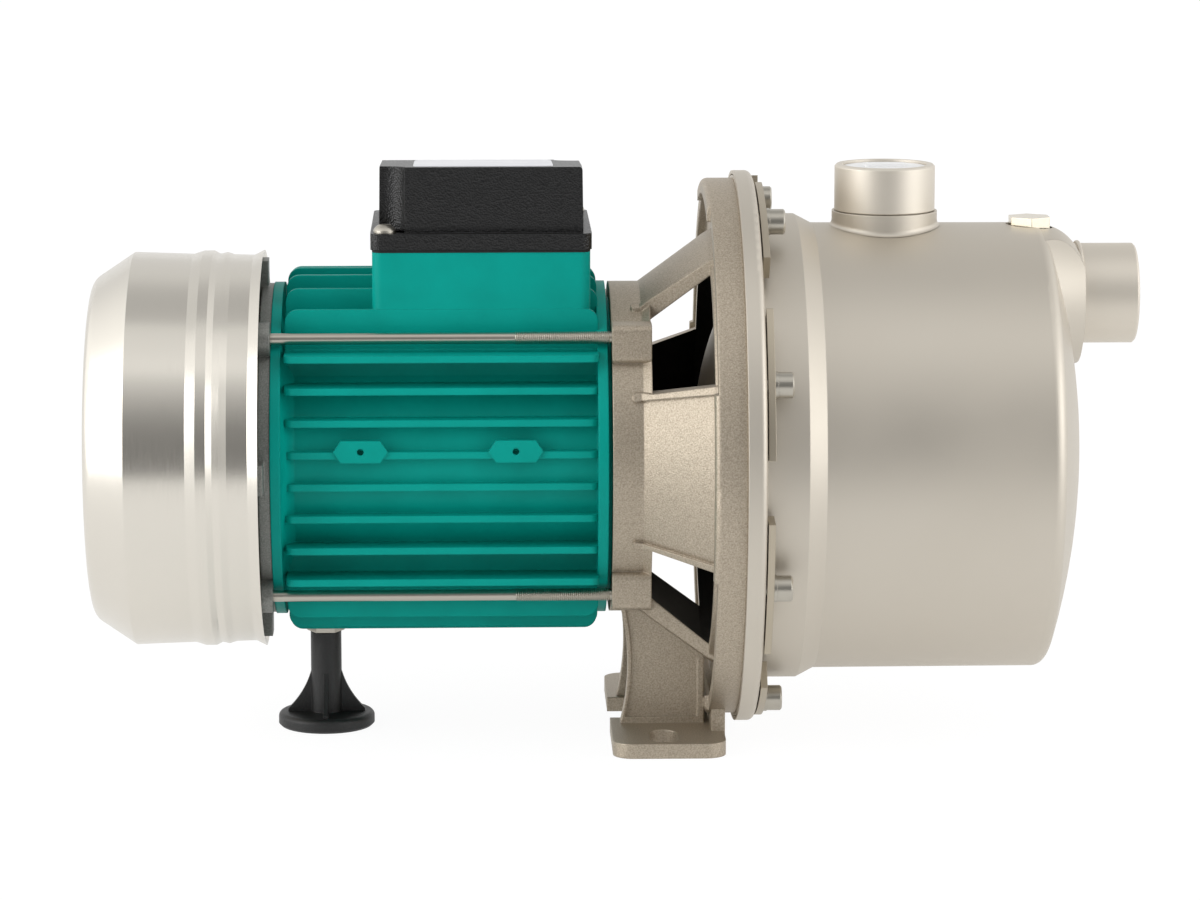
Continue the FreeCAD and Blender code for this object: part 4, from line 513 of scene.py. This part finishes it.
def crown_section(x):
    """Radius r from the shaft and half width as an angle f, at station x.

    Up to the shoulder r is that of the drum's end, a shallow cone. From there it is an arc of
    radius 16 mm. The pad's cone has a radius c that shrinks evenly along x, and with the port at
    height p over the shaft, cos f = (r^2 + p^2 - c^2) / (2 p r).
    """
    past_middle = np.maximum(x, SHOULDER_START) - SHOULDER_MIDDLE_X
    arc = SHOULDER_MIDDLE_RISE + np.sqrt(SHOULDER_RADIUS ** 2 - past_middle ** 2)
    wall = WALL_RADIUS - WALL_SLOPE * (x - WALL_START)
    radius = np.where(x < SHOULDER_START, wall, arc) + SHEET_LIFT
    cone = CONE_RADIUS - CONE_SLOPE * (x - CONE_START)
    cosine = (radius ** 2 + PORT_RISE ** 2 - cone ** 2) / (2 * PORT_RISE * radius)
    return radius, np.arccos(cosine)


def crown_points(boss_x, boss, first, last, rows=28, columns=97):
    """Share s from 1 to -1 of the half width, and stations from the boss's edge to the pad's face.

    The first station of a column solves (x - boss_x)^2 + y^2 = boss^2, found by repeating it.
    """
    share = np.linspace(1, -1, columns)[None, :]
    start = np.full((1, columns), first)
    for _ in range(30):
        radius, half = crown_section(start)
        y = radius * np.sin(half * share)
        start = np.maximum(first, boss_x + np.sqrt(np.maximum(boss ** 2 - y ** 2, 0)))
    x = start + (last - start) * np.linspace(0, 1, rows)[:, None]
    radius, half = crown_section(x)
    y = radius * np.sin(half * share)
    z = SHAFT_HEIGHT + radius * np.cos(half * share)
    return np.stack((x, y, z), axis=-1)


crown = crown_points(BOSS_X, BOSS_RADIUS, CROWN_START, CROWN_END)
crown_faces = grid_faces(crown.shape[0], crown.shape[1])
make_piece("pad_crown", crown, crown_faces, "pump", casing_satin.material)

# %% [markdown]
# ## Plate on the lid
# A pale plate lies on the lid's top and falls towards the back as the lid does. It is left bare.
# It is 0.3 mm thick with rounded corners and a narrow slanted rim, so that its edge shows.


# %% Lid plate
PLATE_LOW = (-0.0977, -0.0325)
PLATE_HIGH = (-0.0427, 0.0325)
PLATE_THICKNESS = 0.0003
PLATE_SINK = 0.00002
CORNER_POWER = 12
LID_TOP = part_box("terminal_box_cover")[1][2] - PLATE_SINK
LID_FRONT = -0.0374
LID_FALL = 0.06885


def plate_points(low, high, corner, height, rows=7, columns=64):
    """A rounded rectangle that shrinks row by row: a superellipse of power corner, scaled by s.

    s runs from 1 at the edge to 0 in the middle, and the third row has the full height. The lid
    under the plate is at LID_TOP - LID_FALL * (y - LID_FRONT).
    """
    centre = (np.array(low) + np.array(high)) / 2
    half = (np.array(high) - np.array(low)) / 2
    angle = np.linspace(0, 2 * np.pi, columns, endpoint=False)[None, :]
    power = 2 / corner
    ring_x = np.sign(np.cos(angle)) * np.abs(np.cos(angle)) ** power
    ring_y = np.sign(np.sin(angle)) * np.abs(np.sin(angle)) ** power
    scale = np.concatenate([[1.0, 1.0], np.linspace(0.985, 0.0, rows)])[:, None]
    lift = np.concatenate([[0.0, 0.8], np.ones(rows)])[:, None] * height
    x = centre[0] + half[0] * scale * ring_x
    y = centre[1] + half[1] * scale * ring_y
    z = LID_TOP - LID_FALL * (y - LID_FRONT) + lift
    return np.stack(np.broadcast_arrays(x, y, z), axis=-1)


bare_plate = Finish("bare_plate", srgb(226, 227, 232), 0.35)
bare_plate.mottle(bare_plate.spread(bare_plate.noise(90), 0.0, 1.0), srgb(220, 221, 226), srgb(232, 232, 236))
plate = plate_points(PLATE_LOW, PLATE_HIGH, CORNER_POWER, PLATE_THICKNESS)
plate_faces = grid_faces(plate.shape[0], plate.shape[1], close_columns=True)
make_piece("lid_plate", plate, plate_faces, "pump", bare_plate.material, False)
print("Lid top at", round(LID_TOP, 4), "m")

# %% [markdown]
# ## The studio
# A pale sweep stands under and behind the pump. To the camera it is white, in reflections it is
# nearly as pale, and it still takes the soft shadow under the feet. Its front edge ends short of
# the camera, so polished steel shows a crisp line there and the dim front of the room above it.
# The room is white behind and at the sides, which is what gives the steel its shape.

# %% Floor sweep
SWEEP_FRONT = -0.95
SWEEP_HALF_WIDTH = 3.5
BEND_START = 1.2
BEND_RADIUS = 1.2
flat_y = np.linspace(SWEEP_FRONT, BEND_START, 22)
climb = np.linspace(0.1, 1.5, 14)
sweep_y = np.concatenate([flat_y, BEND_START + BEND_RADIUS * np.sin(climb)])
sweep_z = np.concatenate([np.zeros(len(flat_y)), BEND_RADIUS - BEND_RADIUS * np.cos(climb)])
sweep_x = np.linspace(-SWEEP_HALF_WIDTH, SWEEP_HALF_WIDTH, 15)
ground = np.zeros((len(sweep_y), len(sweep_x), 3))
ground[..., 0] = sweep_x[None, :]
ground[..., 1] = sweep_y[:, None]
ground[..., 2] = sweep_z[:, None]
sweep_mesh = bpy.data.meshes.new("sweep")
sweep_mesh.from_pydata(ground.reshape(-1, 3).tolist(), [], grid_faces(len(sweep_y), len(sweep_x)).tolist())
sweep_mesh.polygons.foreach_set("use_smooth", np.full(len(sweep_mesh.polygons), True))
sweep = bpy.data.objects.new("sweep", sweep_mesh)
bpy.context.scene.collection.objects.link(sweep)

paper = Finish("paper", srgb(240, 240, 240), 0.9)
glow = paper.node("ShaderNodeEmission")
glow.inputs["Strength"].default_value = 1.05
rays = paper.node("ShaderNodeLightPath")
share = paper.node("ShaderNodeMath", operation="MULTIPLY")
paper.join(rays.outputs["Is Camera Ray"], share.inputs[0])
share.inputs[1].default_value = 0.9
both = paper.node("ShaderNodeMath", operation="MULTIPLY_ADD")
paper.join(rays.outputs["Is Glossy Ray"], both.inputs[0])
both.inputs[1].default_value = 0.55
paper.join(share.outputs[0], both.inputs[2])
blend = paper.node("ShaderNodeMixShader")
paper.join(both.outputs[0], blend.inputs[0])
paper.join(paper.shader.outputs[0], blend.inputs[1])
paper.join(glow.outputs[0], blend.inputs[2])
paper.join(blend.outputs[0], paper.tree.nodes["Material Output"].inputs["Surface"])
sweep_mesh.materials.append(paper.material)
print("Sweep is", round(float(sweep_x[-1] - sweep_x[0]), 1), "m wide")

# %% Room light
world = bpy.data.worlds.new("room")
bpy.context.scene.world = world
world.use_nodes = True
room = world.node_tree
backdrop = room.nodes["Background"]
direction = room.nodes.new("ShaderNodeTexCoord")
parts = room.nodes.new("ShaderNodeSeparateXYZ")
room.links.new(direction.outputs["Generated"], parts.inputs[0])


def ramp(axis, start, stop, low, high):
    """Smooth step of one axis of the direction, from low at start to high at stop."""
    ranged = room.nodes.new("ShaderNodeMapRange")
    ranged.interpolation_type = "SMOOTHSTEP"
    ranged.inputs["From Min"].default_value = start
    ranged.inputs["From Max"].default_value = stop
    ranged.inputs["To Min"].default_value = low
    ranged.inputs["To Max"].default_value = high
    room.links.new(parts.outputs[axis], ranged.inputs["Value"])
    return ranged.outputs["Result"]


def total(first, second):
    """The sum of two values."""
    plus = room.nodes.new("ShaderNodeMath")
    room.links.new(first, plus.inputs[0])
    room.links.new(second, plus.inputs[1])
    return plus.outputs[0]


front = ramp("Y", -1.0, -0.6, 0.23, 0.78)
left = ramp("X", -0.35, -0.95, 0.0, 0.6)
right = ramp("X", 0.35, 0.95, 0.0, 0.5)
above = ramp("Z", 0.75, 0.97, 0.0, -0.24)
level = total(total(front, above), total(left, right))
path = room.nodes.new("ShaderNodeLightPath")
camera_or_not = room.nodes.new("ShaderNodeMix")
room.links.new(path.outputs["Is Camera Ray"], camera_or_not.inputs["Factor"])
room.links.new(level, camera_or_not.inputs["A"])
camera_or_not.inputs["B"].default_value = 1.0
room.links.new(camera_or_not.outputs["Result"], backdrop.inputs["Strength"])
backdrop.inputs["Color"].default_value = (1, 1, 1, 1)


def softbox(name, place, target, width, height, watts):
    """An area lamp of width by height metres at a place, turned to face a target."""
    lamp = bpy.data.lights.new(name, "AREA")
    lamp.shape = "RECTANGLE"
    lamp.size = width
    lamp.size_y = height
    lamp.energy = watts
    holder = bpy.data.objects.new(name, lamp)
    gaze = Vector(target) - Vector(place)
    holder.rotation_euler = gaze.to_track_quat("-Z", "Y").to_euler()
    holder.location = place
    bpy.context.scene.collection.objects.link(holder)
    print(name, watts, "W")
    return holder


softbox("top_box", (0.0, -0.55, 1.5), (0.0, 0.0, 0.1), 2.4, 0.9, 2.4)
softbox("left_box", (-1.6, -0.7, 0.6), (-0.1, 0.0, 0.12), 1.4, 1.4, 12)
softbox("right_box", (1.6, -0.8, 0.6), (0.1, 0.0, 0.12), 1.2, 1.2, 6)
bpy.context.scene.view_settings.view_transform = "Standard"
